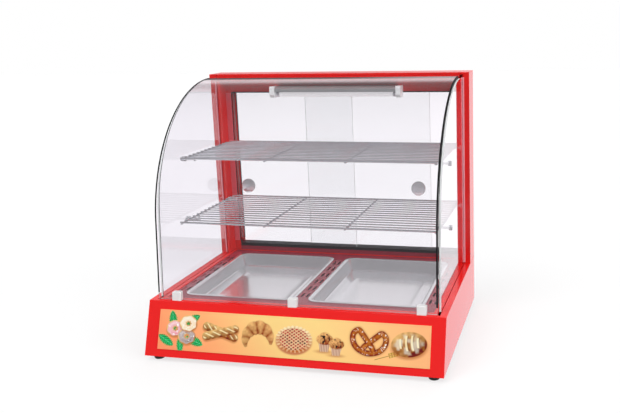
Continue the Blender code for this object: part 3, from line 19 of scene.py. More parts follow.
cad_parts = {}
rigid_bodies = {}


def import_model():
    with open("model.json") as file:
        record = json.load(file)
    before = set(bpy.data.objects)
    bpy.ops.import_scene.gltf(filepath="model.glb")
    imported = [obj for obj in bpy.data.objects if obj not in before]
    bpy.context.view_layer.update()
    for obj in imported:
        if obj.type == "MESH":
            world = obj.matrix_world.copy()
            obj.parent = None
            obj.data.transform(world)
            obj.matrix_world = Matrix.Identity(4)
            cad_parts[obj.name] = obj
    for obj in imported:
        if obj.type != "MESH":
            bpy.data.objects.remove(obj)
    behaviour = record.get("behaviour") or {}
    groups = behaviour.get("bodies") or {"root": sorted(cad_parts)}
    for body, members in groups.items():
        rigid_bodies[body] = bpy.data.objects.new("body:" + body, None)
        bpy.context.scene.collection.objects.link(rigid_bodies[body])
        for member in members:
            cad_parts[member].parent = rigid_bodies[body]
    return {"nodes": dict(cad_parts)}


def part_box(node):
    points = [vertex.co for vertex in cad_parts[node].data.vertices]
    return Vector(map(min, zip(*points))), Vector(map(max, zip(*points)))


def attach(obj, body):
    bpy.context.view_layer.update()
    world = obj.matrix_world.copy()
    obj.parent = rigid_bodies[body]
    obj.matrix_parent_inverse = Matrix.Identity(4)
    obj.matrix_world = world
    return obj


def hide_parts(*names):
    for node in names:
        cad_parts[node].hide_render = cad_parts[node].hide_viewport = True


LOG = logging.getLogger("pastry_warmer")
MM = 0.001
PHOTO_WIDTH, PHOTO_HEIGHT = 620, 413
WELD_GAP = 0.01 * MM
ROUNDED_FROM_DEGREES = 40
CASE = "case"

Colour = tuple[float, float, float]
Span = tuple[float, float]
Tree = bpy.types.NodeTree
Node = bpy.types.Node
Socket = bpy.types.NodeSocket
Inputs = dict[str | int, object]


class Hand(Enum):
    """Left or right, seen from the front."""

    LEFT = "left"
    RIGHT = "right"

    @property
    def side(self) -> int:
        """The sign of x on this side."""
        return -1 if self is Hand.LEFT else 1


class Level(Enum):
    """The two wire shelves."""

    UPPER = "upper"
    LOWER = "lower"


def linear(red: float, green: float, blue: float) -> Colour:
    """A colour as seen on a screen, 0 to 255, as linear light.

    Args:
        red: The screen's red.
        green: The screen's green.
        blue: The screen's blue.

    Returns:
        The linear colour, each 0 to 1.
    """
    screen = np.array([red, green, blue]) / 255
    light = np.where(screen <= 0.04045, screen / 12.92, ((screen + 0.055) / 1.055) ** 2.4)
    return tuple(float(value) for value in light)


# Node helpers and shared shader groups


def feed(tree: Tree, node: Node, inputs: Inputs) -> None:
    """Set or link inputs of a node.

    Args:
        tree: The tree that the node is in.
        node: The node.
        inputs: For each input, by name or number, its value or the socket that feeds it.
    """
    for place, value in inputs.items():
        if isinstance(value, Socket):
            tree.links.new(value, node.inputs[place])
        else:
            node.inputs[place].default_value = value


def add_node(tree: Tree, kind: str, inputs: Inputs | None = None, **settings: object) -> Node:
    """A new node with its settings made and its inputs set or linked.

    Args:
        tree: The tree to add it to.
        kind: The node's type, less the leading ShaderNode.
        inputs: For each input, by name or number, its value or the socket that feeds it.
        **settings: The node's own settings.

    Returns:
        The node.
    """
    node = tree.nodes.new(f"ShaderNode{kind}")
    for setting, value in settings.items():
        setattr(node, setting, value)
    feed(tree, node, inputs or {})
    return node


def work_out(tree: Tree, operation: str, *values: float | Socket) -> Socket:
    """The result of a Math node on values and sockets."""
    return add_node(tree, "Math", dict(enumerate(values)), operation=operation).outputs[0]


def fade(tree: Tree, value: Socket, span: Span, levels: Span = (0.0, 1.0)) -> Socket:
    """A smooth change from one level to another while a value crosses a span.

    Args:
        tree: The tree to add it to.
        value: What is followed.
        span: Where the change starts and ends.
        levels: The level before and after it.

    Returns:
        The changing level.
    """
    names = ("From Min", "From Max", "To Min", "To Max")
    inputs = {"Value": value, **dict(zip(names, (*span, *levels)))}
    return add_node(tree, "MapRange", inputs, interpolation_type="SMOOTHSTEP").outputs["Result"]


def either_ray(tree: Tree, first: str, second: str) -> Socket:
    """A mask of rays of either of two kinds: the larger of two outputs of Light Path.

    Args:
        tree: The tree to add it to.
        first: One output's name.
        second: The other's.

    Returns:
        The mask's socket.
    """
    path = add_node(tree, "LightPath").outputs
    return work_out(tree, "MAXIMUM", path[first], path[second])


def mirrored_mask(tree: Tree) -> Socket:
    """A mask of rays that have met a mirror on their way, also where glass follows it: 1 there, else 0.

    Args:
        tree: The tree to add it to.

    Returns:
        The mask's socket.
    """
    path = add_node(tree, "LightPath").outputs
    deep = work_out(tree, "MINIMUM", path["Glossy Depth"], 1.0)
    return work_out(tree, "MAXIMUM", path["Is Glossy Ray"], deep)


def group_tree(name: str, inputs: dict[str, tuple[str, object]], output: str) -> Tree:
    """An empty shader group with named sockets.

    Args:
        name: The group's name.
        inputs: For each input, its socket type and default value.
        output: The name of its one output, a number.

    Returns:
        The group's tree, with its input and output nodes in it.
    """
    tree = bpy.data.node_groups.new(name, "ShaderNodeTree")
    for label, (kind, value) in inputs.items():
        socket = tree.interface.new_socket(name=label, in_out="INPUT", socket_type=kind)
        if value is not None:
            socket.default_value = value
    tree.interface.new_socket(name=output, in_out="OUTPUT", socket_type="NodeSocketFloat")
    tree.nodes.new("NodeGroupInput").name = "in"
    tree.nodes.new("NodeGroupOutput").name = "out"
    return tree


def mottle_group(finer: float = 7.3, fine_share: float = 0.35) -> Tree:
    """Slow cloudy change over a surface, 0 to 1: a coarse and a finer noise, added by their shares.

    Args:
        finer: How much smaller the fine noise is.
        fine_share: Its share of the sum.

    Returns:
        The shared group, made once.
    """
    found = bpy.data.node_groups.get("mottle")
    if found:
        return found
    sockets = {"Vector": ("NodeSocketVector", None), "Scale": ("NodeSocketFloat", 9.0)}
    tree = group_tree("mottle", sockets, "Value")
    given = tree.nodes["in"].outputs
    coarse = add_node(tree, "TexNoise", {"Vector": given["Vector"], "Scale": given["Scale"], "Detail": 2.0})
    scale = work_out(tree, "MULTIPLY", given["Scale"], finer)
    fine = add_node(tree, "TexNoise", {"Vector": given["Vector"], "Scale": scale, "Detail": 3.0})
    share = work_out(tree, "MULTIPLY", coarse.outputs["Fac"], 1 - fine_share)
    mean = work_out(tree, "MULTIPLY_ADD", fine.outputs["Fac"], fine_share, share)
    feed(tree, tree.nodes["out"], {"Value": mean})
    return tree


def relief_group() -> Tree:
    """Fine relief: a noise of small size, drawn out along the axes by Stretch, as orange peel or brush lines.

    Returns:
        The shared group, made once.
    """
    found = bpy.data.node_groups.get("fine_relief")
    if found:
        return found
    sockets = {
        "Vector": ("NodeSocketVector", None),
        "Scale": ("NodeSocketFloat", 400.0),
        "Stretch": ("NodeSocketVector", (1.0, 1.0, 1.0)),
    }
    tree = group_tree("fine_relief", sockets, "Height")
    given = tree.nodes["in"].outputs
    drawn = add_node(tree, "VectorMath", {0: given["Vector"], 1: given["Stretch"]}, operation="MULTIPLY")
    noise = add_node(tree, "TexNoise", {"Vector": drawn.outputs[0], "Scale": given["Scale"], "Detail": 2.0})
    feed(tree, tree.nodes["out"], {"Height": noise.outputs["Fac"]})
    return tree


def place_group(tree: Tree, group: Tree, **values: object) -> Socket:
    """Put a shared group into a material on its Object coordinates.

    Args:
        tree: The material's tree.
        group: The shared group.
        **values: Values for the group's inputs.

    Returns:
        The group's one output.
    """
    place = tree.nodes.get("place") or add_node(tree, "TexCoord", name="place")
    inputs = {**values, "Vector": place.outputs["Object"]}
    return add_node(tree, "Group", inputs, node_tree=group).outputs[0]


# Finishes


@dataclass(frozen=True)
class Surface:
    """What every finish has: a name, a colour, and one material that is made when first asked for."""

    name: str
    colour: Colour
    seen_through = 1.0

    def material(self) -> bpy.types.Material:
        """The finish as a material, made once.

        Returns:
            The material, which every piece with this finish shares.
        """
        found = bpy.data.materials.get(f"{self.name}_finish")
        if found:
            return found
        made = bpy.data.materials.new(f"{self.name}_finish")
        made.use_nodes = True
        self.fill(made.node_tree, made.node_tree.nodes["Principled BSDF"])
        made.diffuse_color = (*self.colour, self.seen_through)
        return made

    def fill(self, tree: Tree, shader: Node) -> None:
        """Set the shader; each kind of finish says how."""
        raise NotImplementedError

    def shade(self, factor: float) -> tuple[float, ...]:
        """The colour made darker or lighter, with its alpha."""
        return (*(min(1.0, channel * factor) for channel in self.colour), 1.0)


@dataclass(frozen=True)
class Finish(Surface):
    """An opaque finish: one Principled shader with cloudy colour and gloss and a fine relief."""

    metallic: float = 0.0
    roughness: float = 0.4
    roughness_change: float = 0.06
    mottle: float = 0.06
    mottle_scale: float = 9.0
    relief: float = 0.00002
    relief_scale: float = 450.0
    stretch: tuple[float, float, float] = (1.0, 1.0, 1.0)
    coat: float = 0.0
    coat_roughness: float = 0.06
    specular: float = 0.5
    glow: float = 0.0
    attribute: str = ""

    def fill(self, tree: Tree, shader: Node) -> None:
        """Set the shader: plain values, cloudy colour and roughness, and relief where there is one.

        Args:
            tree: The material's tree.
            shader: The Principled shader.
        """
        cloud = place_group(tree, mottle_group(), Scale=self.mottle_scale)
        dull, change = self.roughness, self.roughness_change
        span = {"To Min": max(0.0, dull - change), "To Max": min(1.0, dull + change)}
        gloss = add_node(tree, "MapRange", {"Value": cloud, **span})
        colour = self.clouded(tree, cloud)
        feed(tree, shader, {
            "Metallic": self.metallic, "Coat Weight": self.coat, "Coat Roughness": self.coat_roughness,
            "Specular IOR Level": self.specular, "Base Color": colour, "Roughness": gloss.outputs["Result"],
        })
        if self.glow:
            feed(tree, shader, {"Emission Color": colour, "Emission Strength": self.glow})
        if self.relief:
            height = place_group(tree, relief_group(), Scale=self.relief_scale, Stretch=self.stretch)
            bump = add_node(tree, "Bump", {"Strength": 1.0, "Distance": self.relief, "Height": height})
            feed(tree, shader, {"Normal": bump.outputs["Normal"]})

    def clouded(self, tree: Tree, cloud: Socket) -> Socket:
        """A darker to a lighter shade by the cloud, times the piece's own colour attribute where it has one.

        Args:
            tree: The material's tree.
            cloud: The cloudy value.

        Returns:
            The colour's socket.
        """
        shades = {"A": self.shade(1 - self.mottle), "B": self.shade(1 + self.mottle), "Factor": cloud}
        colour = add_node(tree, "Mix", shades, data_type="RGBA").outputs["Result"]
        if not self.attribute:
            return colour
        ink = add_node(tree, "Attribute", attribute_name=self.attribute).outputs["Color"]
        both = {"A": ink, "B": colour, "Factor": 1.0}
        return add_node(tree, "Mix", both, data_type="RGBA", blend_type="MULTIPLY").outputs["Result"]


@dataclass(frozen=True)
class GlassFinish(Surface):
    """Clear glass: Principled transmission, and plain see-through for the rays of lamps and of soft light."""

    shadow: Colour
    roughness: float = 0.0
    index: float = 1.5
    mottle: float = 0.012
    mottle_scale: float = 5.0
    seen_through = 0.3

    def fill(self, tree: Tree, shader: Node) -> None:
        """Set the shader and mix it with the see-through one.

        Args:
            tree: The material's tree.
            shader: The Principled shader.
        """
        cloud = place_group(tree, mottle_group(), Scale=self.mottle_scale)
        shades = {"A": self.shade(1 - self.mottle), "B": self.shade(1.0), "Factor": cloud}
        tint = add_node(tree, "Mix", shades, data_type="RGBA")
        feed(tree, shader, {
            "Roughness": self.roughness, "IOR": self.index, "Transmission Weight": 1.0,
            "Base Color": tint.outputs["Result"],
        })
        clear = add_node(tree, "BsdfTransparent", {"Color": (*self.shadow, 1.0)})
        lit = either_ray(tree, "Is Shadow Ray", "Is Diffuse Ray")
        mixed = add_node(tree, "MixShader", {"Fac": lit, 1: shader.outputs["BSDF"], 2: clear.outputs["BSDF"]})
        feed(tree, tree.nodes["Material Output"], {"Surface": mixed.outputs["Shader"]})


RED_PAINT = Finish(
    "red_paint", (0.80, 0.012, 0.011), roughness=0.2, roughness_change=0.04, mottle=0.03, mottle_scale=4.0,
    relief=0.000006, relief_scale=330.0,
)
# Darker wine red for the deck and sill: painted shade, the red paint darkened for the shade that the shelves
# and lamp cast over them.
DECK_SHADE_PAINT = Finish(
    "deck_painted_shade", (0.29, 0.03, 0.05), roughness=0.2, roughness_change=0.04, mottle=0.04, mottle_scale=6.0,
    relief=0.000006, relief_scale=330.0,
)
# Lighter rose red of the jamb facings: painted light, a lit copy of the red paint on the inner jamb.
JAMB_LIGHT_PAINT = Finish(
    "jamb_painted_light", (0.86, 0.16, 0.2), roughness=0.25, roughness_change=0.04, mottle=0.03, mottle_scale=6.0,
    relief=0.0,
)
PRINT_FILM = Finish(
    "picture_film", (0.97, 0.97, 0.97), roughness=0.32, roughness_change=0.05, mottle=0.02, relief=0.000004,
    relief_scale=260.0, attribute="print_colour",
)
CLEAR_GLASS = GlassFinish("clear_glass", (0.92, 0.917, 0.935), (0.93, 0.94, 0.94))
DOOR_GLASS = GlassFinish("door_glass", (0.975, 0.985, 0.985), (0.93, 0.94, 0.94))
DARK_EDGE = Finish(
    "dark_glass_edge", (0.004, 0.004, 0.005), roughness=0.5, roughness_change=0.04, relief=0.0, specular=0.15
)
GROUND_EDGE = Finish(
    "ground_glass_edge", (0.90, 0.92, 0.93), roughness=0.35, roughness_change=0.1, mottle=0.2,
    mottle_scale=60.0, relief=0.00002, relief_scale=900.0,
)
# Pale pink of the side beads: a painted highlight of the light caught on the posts' flange edges.
HIGHLIGHT_SEAL = Finish("seal_painted_highlight", (0.97, 0.38, 0.44), roughness=0.35, mottle=0.04, relief=0.0)
CHROME = Finish(
    "chrome_wire", (0.76, 0.77, 0.80), metallic=0.8, roughness=0.1, roughness_change=0.05, mottle=0.05,
    mottle_scale=30.0, relief=0.000004, relief_scale=500.0,
)
STAINLESS = Finish(
    "stainless", (0.93, 0.935, 0.945), metallic=0.85, roughness=0.17, roughness_change=0.05, mottle=0.05,
    mottle_scale=12.0, relief=0.000008, relief_scale=900.0, stretch=(0.03, 1.0, 1.0),
)
LAMP_SHEET = Finish(
    "lamp_sheet", (0.46, 0.46, 0.47), metallic=0.3, roughness=0.3, mottle=0.04, mottle_scale=20.0,
    relief=0.000006, relief_scale=700.0, stretch=(0.03, 1.0, 1.0),
)
GALVANISED = Finish(
    "galvanised", (0.5, 0.52, 0.54), metallic=1.0, roughness=0.42, roughness_change=0.12, mottle=0.18,
    mottle_scale=55.0, relief=0.00001, relief_scale=120.0,
)
BLACK_TRACK = Finish(
    "black_track", (0.012, 0.012, 0.015), roughness=0.34, mottle=0.15, mottle_scale=20.0, relief=0.000006,
    relief_scale=900.0, stretch=(0.04, 1.0, 1.0),
)
RUBBER = Finish(
    "black_rubber", (0.014, 0.014, 0.014), roughness=0.78, roughness_change=0.08, mottle=0.25,
    mottle_scale=60.0, relief=0.00005, relief_scale=1400.0,
)
WHITE_PLASTIC = Finish(
    "white_plastic", (0.84, 0.83, 0.83), roughness=0.36, mottle=0.02, relief=0.00001, relief_scale=900.0
)
TUBE_GLASS = Finish(
    "lamp_glow", (0.86, 0.84, 0.86), roughness=0.18, mottle=0.02, relief=0.0, coat=0.5, glow=0.65
)
# The end caps glow a little: painted light, as if lit through by the tube, though they are no lamp.
GLOWING_LAMP_CAP = Finish(
    "lamp_cap", (0.84, 0.83, 0.84), roughness=0.36, mottle=0.02, relief=0.00001, relief_scale=900.0, glow=0.3
)
PEG_STEEL = Finish(
    "peg_steel", (0.7, 0.7, 0.73), metallic=0.3, roughness=0.3, mottle=0.05, mottle_scale=60.0, relief=0.0
)
PILE = Finish("pile_strip", (0.66, 0.5, 0.53), roughness=0.8, mottle=0.2, mottle_scale=90.0, relief=0.0)
BLACK_PLASTIC = Finish(
    "black_plastic", (0.018, 0.018, 0.02), mottle=0.12, mottle_scale=40.0, relief_scale=1500.0
)
RED_LENS = Finish(
    "red_lens", (0.72, 0.02, 0.015), roughness=0.14, mottle=0.1, mottle_scale=120.0, relief=0.0, coat=0.4,
    glow=0.08,
)
GREEN_LENS = Finish(
    "green_lens", (0.02, 0.42, 0.1), roughness=0.16, mottle=0.1, mottle_scale=120.0, relief=0.0, coat=0.4,
    glow=0.05,
)
HEATER_SHEATH = Finish(
    "heater_sheath", (0.2, 0.19, 0.18), metallic=1.0, roughness=0.5, roughness_change=0.12, mottle=0.2,
    mottle_scale=40.0, relief=0.00002, relief_scale=900.0,
)
ZINC = Finish(
    "zinc_screw", (0.58, 0.58, 0.56), metallic=1.0, roughness=0.28, mottle=0.12, mottle_scale=150.0,
    relief=0.00001, relief_scale=900.0,
)
MARK_WHITE = Finish("mark_white", (0.82, 0.82, 0.8), roughness=0.45, mottle=0.03, relief=0.0)


# Meshes from whole arrays


def grid_quads(rows: int, columns: int, round_rows: bool = False, round_columns: bool = False) -> np.ndarray:
    """The quads of a grid whose points are numbered row by row.

    Args:
        rows: How many rows of points.
        columns: How many points in a row.
        round_rows: Whether the last row joins the first.
        round_columns: Whether each row closes on itself.

    Returns:
        An array of quads, one in each row: (i, j), (i, j + 1), (i + 1, j + 1), (i + 1, j).
    """
    i = np.arange(rows if round_rows else rows - 1)[:, None]
    j = np.arange(columns if round_columns else columns - 1)[None, :]
    after_i, after_j = (i + 1) % rows, (j + 1) % columns
    corners = (i * columns + j, i * columns + after_j, after_i * columns + after_j, after_i * columns + j)
    return np.stack(np.broadcast_arrays(*corners), axis=-1).reshape(-1, 4)


@dataclass
class Shell:
    """Points and faces of a piece on the way, all as arrays."""

    points: np.ndarray
    faces: list[list[int]]

    def joined(self, *others: "Shell") -> "Shell":
        """This shell and others in one.

        Args:
            *others: The shells to add, in order.

        Returns:
            The joined shell.
        """
        points, faces, count = [self.points], list(self.faces), len(self.points)
        for other in others:
            points.append(other.points)
            faces += [[corner + count for corner in face] for face in other.faces]
            count += len(other.points)
        return Shell(np.vstack(points), faces)

    def mesh(self, name: str) -> bpy.types.Mesh:
        """The shell as a mesh.

        Args:
            name: The mesh's name.

        Returns:
            The mesh.
        """
        made = bpy.data.meshes.new(name)
        made.from_pydata(self.points.tolist(), [], self.faces)
        made.validate(clean_customdata=False)
        made.update()
        return made


def loft(loops: np.ndarray) -> Shell:
    """A closed skin: point j of loop i is joined to point j of loop i + 1, and a face closes each end.

    Args:
        loops: An array of loops, points and coordinates.

    Returns:
        The shell. Its faces point out where each loop turns counter-clockwise seen from the side it moves to.
    """
    rows, columns = loops.shape[:2]
    faces = grid_quads(rows, columns, False, True).tolist()
    faces.append(list(range(columns))[::-1])
    faces.append([(rows - 1) * columns + j for j in range(columns)])
    return Shell(loops.reshape(-1, 3), faces)


def at_each_x(line: np.ndarray, *xs: float) -> np.ndarray:
    """A line of places in y and z as points in space, once at each x."""
    return np.stack([np.column_stack([np.full(len(line), x), line]) for x in xs])


def beside(*section: tuple[float, np.ndarray]) -> np.ndarray:
    """Loops of a section carried along: each corner is an x and its own line of places in y and z."""
    return np.stack([at_each_x(line, x)[0] for x, line in section], axis=1)


def turned_spokes(axis: Sequence[float], sides: int) -> tuple[np.ndarray, np.ndarray, np.ndarray, np.ndarray]:
    """Unit spokes round an axis: cos t a + sin t b, where a, b and the axis are square and right-handed.

    Args:
        axis: The direction.
        sides: How many spokes.

    Returns:
        The spokes, a, b and the unit axis.
    """
    along = np.array(axis, float) / np.linalg.norm(axis)
    aside = np.cross(along, (0.0, 0.0, 1.0) if abs(along[2]) < 0.9 else (1.0, 0.0, 0.0))
    aside /= np.linalg.norm(aside)
    across = np.cross(along, aside)
    turn = np.linspace(0, 2 * math.pi, sides, endpoint=False)
    return np.cos(turn)[:, None] * aside + np.sin(turn)[:, None] * across, aside, across, along


def lathe(
    profile: Sequence[Sequence[float]], place: Sequence[float], axis: Sequence[float], sides: int = 40
) -> Shell:
    """Revolve a profile: point(i, j) = place + r_i (cos t_j a + sin t_j b) + h_i axis, a point at each pole.

    Args:
        profile: Pairs of radius and height, from a pole at radius 0 to the other.
        place: Where height 0 lies on the axis.
        axis: The direction of the heights.
        sides: How many points are in a turn.

    Returns:
        The closed shell.
    """
    spoke, _, _, along = turned_spokes(axis, sides)
    radius, height = np.array(profile, float).T
    rings = radius[1:-1, None, None] * spoke[None] + height[1:-1, None, None] * along
    points = np.vstack([rings.reshape(-1, 3), height[0] * along, height[-1] * along]) + np.array(place, float)
    rows = len(radius) - 2
    j = np.arange(sides)
    after = (j + 1) % sides
    first, last = rows * sides, rows * sides + 1
    near = np.stack([np.full(sides, first), after, j], axis=-1)
    far = np.stack([np.full(sides, last), (rows - 1) * sides + j, (rows - 1) * sides + after], axis=-1)
    return Shell(points, grid_quads(rows, sides, False, True).tolist() + near.tolist() + far.tolist())


def rounded_profile(corners: Sequence[Sequence[float]], radii: Sequence[float], steps: int = 4) -> np.ndarray:
    """A polyline whose inner corners are rounded by a quadratic curve between points on both sides of them.

    Args:
        corners: The polyline's points.
        radii: How far from each inner corner the rounding starts.
        steps: How many spans each rounding has.

    Returns:
        The points of the rounded line.
    """
    most = 0.48
    points = np.array(corners, float)
    made = [points[0]]
    share = np.linspace(0, 1, steps + 1)[:, None]
    for before, corner, after, radius in zip(points, points[1:], points[2:], radii):
        back, ahead = before - corner, after - corner
        back_length, ahead_length = np.linalg.norm(back), np.linalg.norm(ahead)
        reach = min(radius, back_length * most, ahead_length * most)
        start, end = corner + back / back_length * reach, corner + ahead / ahead_length * reach
        made.extend((1 - share) ** 2 * start + 2 * share * (1 - share) * corner + share**2 * end)
    made.append(points[-1])
    return np.array(made)


def round_rectangle(
    width: float, length: float, radius: float, steps: int, centre: Sequence[float]
) -> np.ndarray:
    """A closed outline with round corners, counter-clockwise: corner centre + radius (cos t, sin t).

    Args:
        width: Its size along x.
        length: Its size along y.
        radius: The corner radius.
        steps: How many spans each corner has.
        centre: The middle.

    Returns:
        The outline's points.
    """
    quarter = np.repeat(np.arange(4), steps + 1)
    turn = math.pi / 2 * (quarter - 1 + np.tile(np.linspace(0, 1, steps + 1), 4))
    sign_x = np.array([1, 1, -1, -1])[quarter]
    sign_y = np.array([-1, 1, 1, -1])[quarter]
    x = centre[0] + sign_x * (width / 2 - radius) + radius * np.cos(turn)
    y = centre[1] + sign_y * (length / 2 - radius) + radius * np.sin(turn)
    return np.stack([x, y], axis=-1)


def block(low: Sequence[float], high: Sequence[float]) -> Shell:
    """A plain block between two corners, for strips and small marks.

    Args:
        low: The lowest corner.
        high: The highest corner.

    Returns:
        The closed shell.
    """
    (x0, y0, z0), (x1, y1, z1) = low, high
    ring = np.array([(x0, y0), (x1, y0), (x1, y1), (x0, y1)])
    return loft(np.stack([np.column_stack([ring, np.full(4, z)]) for z in (z0, z1)]))


def side_block(hand: Hand, reach: Span, depth: Span, rise: Span) -> Shell:
    """A block on one side of the case.

    Args:
        hand: Which side.
        reach: From and to, outwards from the middle.
        depth: From and to along y.
        rise: From and to along z.

    Returns:
        The closed shell.
    """
    near, far = sorted(hand.side * value for value in reach)
    return block((near, depth[0], rise[0]), (far, depth[1], rise[1]))


def add_piece(
    name: str,
    shell: Shell,
    finish: Surface,
    body: str,
    stands_for: Sequence[str] = (),
    smooth_degrees: float = 32.0,
) -> bpy.types.Object:
    """Put a shell into the scene as one finished piece on its CAD body.

    Args:
        name: The piece's name.
        shell: Its points and faces, in the frame's axes.
        finish: What it is made of.
        body: The CAD body that it rides on.
        stands_for: The CAD nodes that it stands for.
        smooth_degrees: Edges that turn less than this are shaded smooth.

    Returns:
        The object, at the origin.
    """
    mesh = shell.mesh(name)
    thing = bpy.data.objects.new(name, mesh)
    bpy.context.scene.collection.objects.link(thing)
    mesh.materials.append(finish.material())
    mesh.shade_smooth()
    mesh.set_sharp_from_angle(angle=math.radians(smooth_degrees))
    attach(thing, body)
    if stands_for:
        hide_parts(*stands_for)
    LOG.info("%s: %d points on %s", name, len(mesh.vertices), body)
    return thing


def dress_node(node: bpy.types.Object, finish: Surface, round_edge: float = 0.0) -> None:
    """Give a CAD node its finish, and a small rounding of its edges by modifiers that leave its mesh alone.

    Args:
        node: The CAD node's object.
        finish: What it is made of.
        round_edge: The width of the rounding, or 0 for none.
    """
    if not node.material_slots:
        node.data.materials.append(None)
    for place in node.material_slots:
        place.material = finish.material()
    if round_edge:
        weld = node.modifiers.new("weld", "WELD")
        weld.merge_threshold = WELD_GAP
        bevel = node.modifiers.new("soft_edges", "BEVEL")
        bevel.width = round_edge
        bevel.segments = 2
        bevel.limit_method = "ANGLE"
        bevel.angle_limit = math.radians(ROUNDED_FROM_DEGREES)
        bevel.harden_normals = True
    LOG.info("%s: dressed in %s", node.name, finish.name)


# Glass


@dataclass(frozen=True)
class BendLine:
    """Side view of bent glass: a leaning straight, an arc and a nearly level tail, as a line in y and z."""

    foot_y: float = -198.2 * MM
    foot_z: float = 127 * MM
    end_y: float = 165 * MM
    top_z: float = 587.2 * MM
    tail: float = 52 * MM
    lean: float = math.radians(3.8)
    tail_lean: float = math.radians(1.5)
    steps: int = 90
    straight_steps: int = 12

    def line(self) -> np.ndarray:
        """The line's points, from the foot to the end.

        The arc is centre + radius (-cos t, sin t) for t from lean to a quarter turn less tail_lean. Its
        radius and the straight's rise solve: straight tan lean + radius reach = y reach, and
        straight + radius rise = z rise.

        Returns:
            Points as y and z.
        """
        reach = self.end_y - self.tail - self.foot_y
        rise = self.top_z - self.tail * math.tan(self.tail_lean) - self.foot_z
        arc_reach = math.cos(self.lean) - math.sin(self.tail_lean)
        arc_rise = math.cos(self.tail_lean) - math.sin(self.lean)
        lean = math.tan(self.lean)
        radius = (reach - rise * lean) / (arc_reach - arc_rise * lean)
        straight = rise - radius * arc_rise
        start = np.array([self.foot_y + straight * lean, self.foot_z + straight])
        centre = start + radius * np.array([math.cos(self.lean), -math.sin(self.lean)])
        turn = np.linspace(self.lean, math.pi / 2 - self.tail_lean, self.steps + 1)
        arc = centre + radius * np.stack([-np.cos(turn), np.sin(turn)], axis=-1)
        foot = np.array([self.foot_y, self.foot_z])
        share = np.linspace(0, 1, self.straight_steps, endpoint=False)[:, None]
        return np.vstack([foot + share * (start - foot), arc, (self.end_y, self.top_z)])

    def shifted(self, distance: float) -> np.ndarray:
        """The line moved square to itself, inwards where distance is positive: p + distance (t_z, -t_y).

        Args:
            distance: How far it moves.

        Returns:
            The moved points.
        """
        line = self.line()
        along = np.gradient(line, axis=0)
        along /= np.linalg.norm(along, axis=1)[:, None]
        return line + distance * np.stack([along[:, 1], -along[:, 0]], axis=-1)


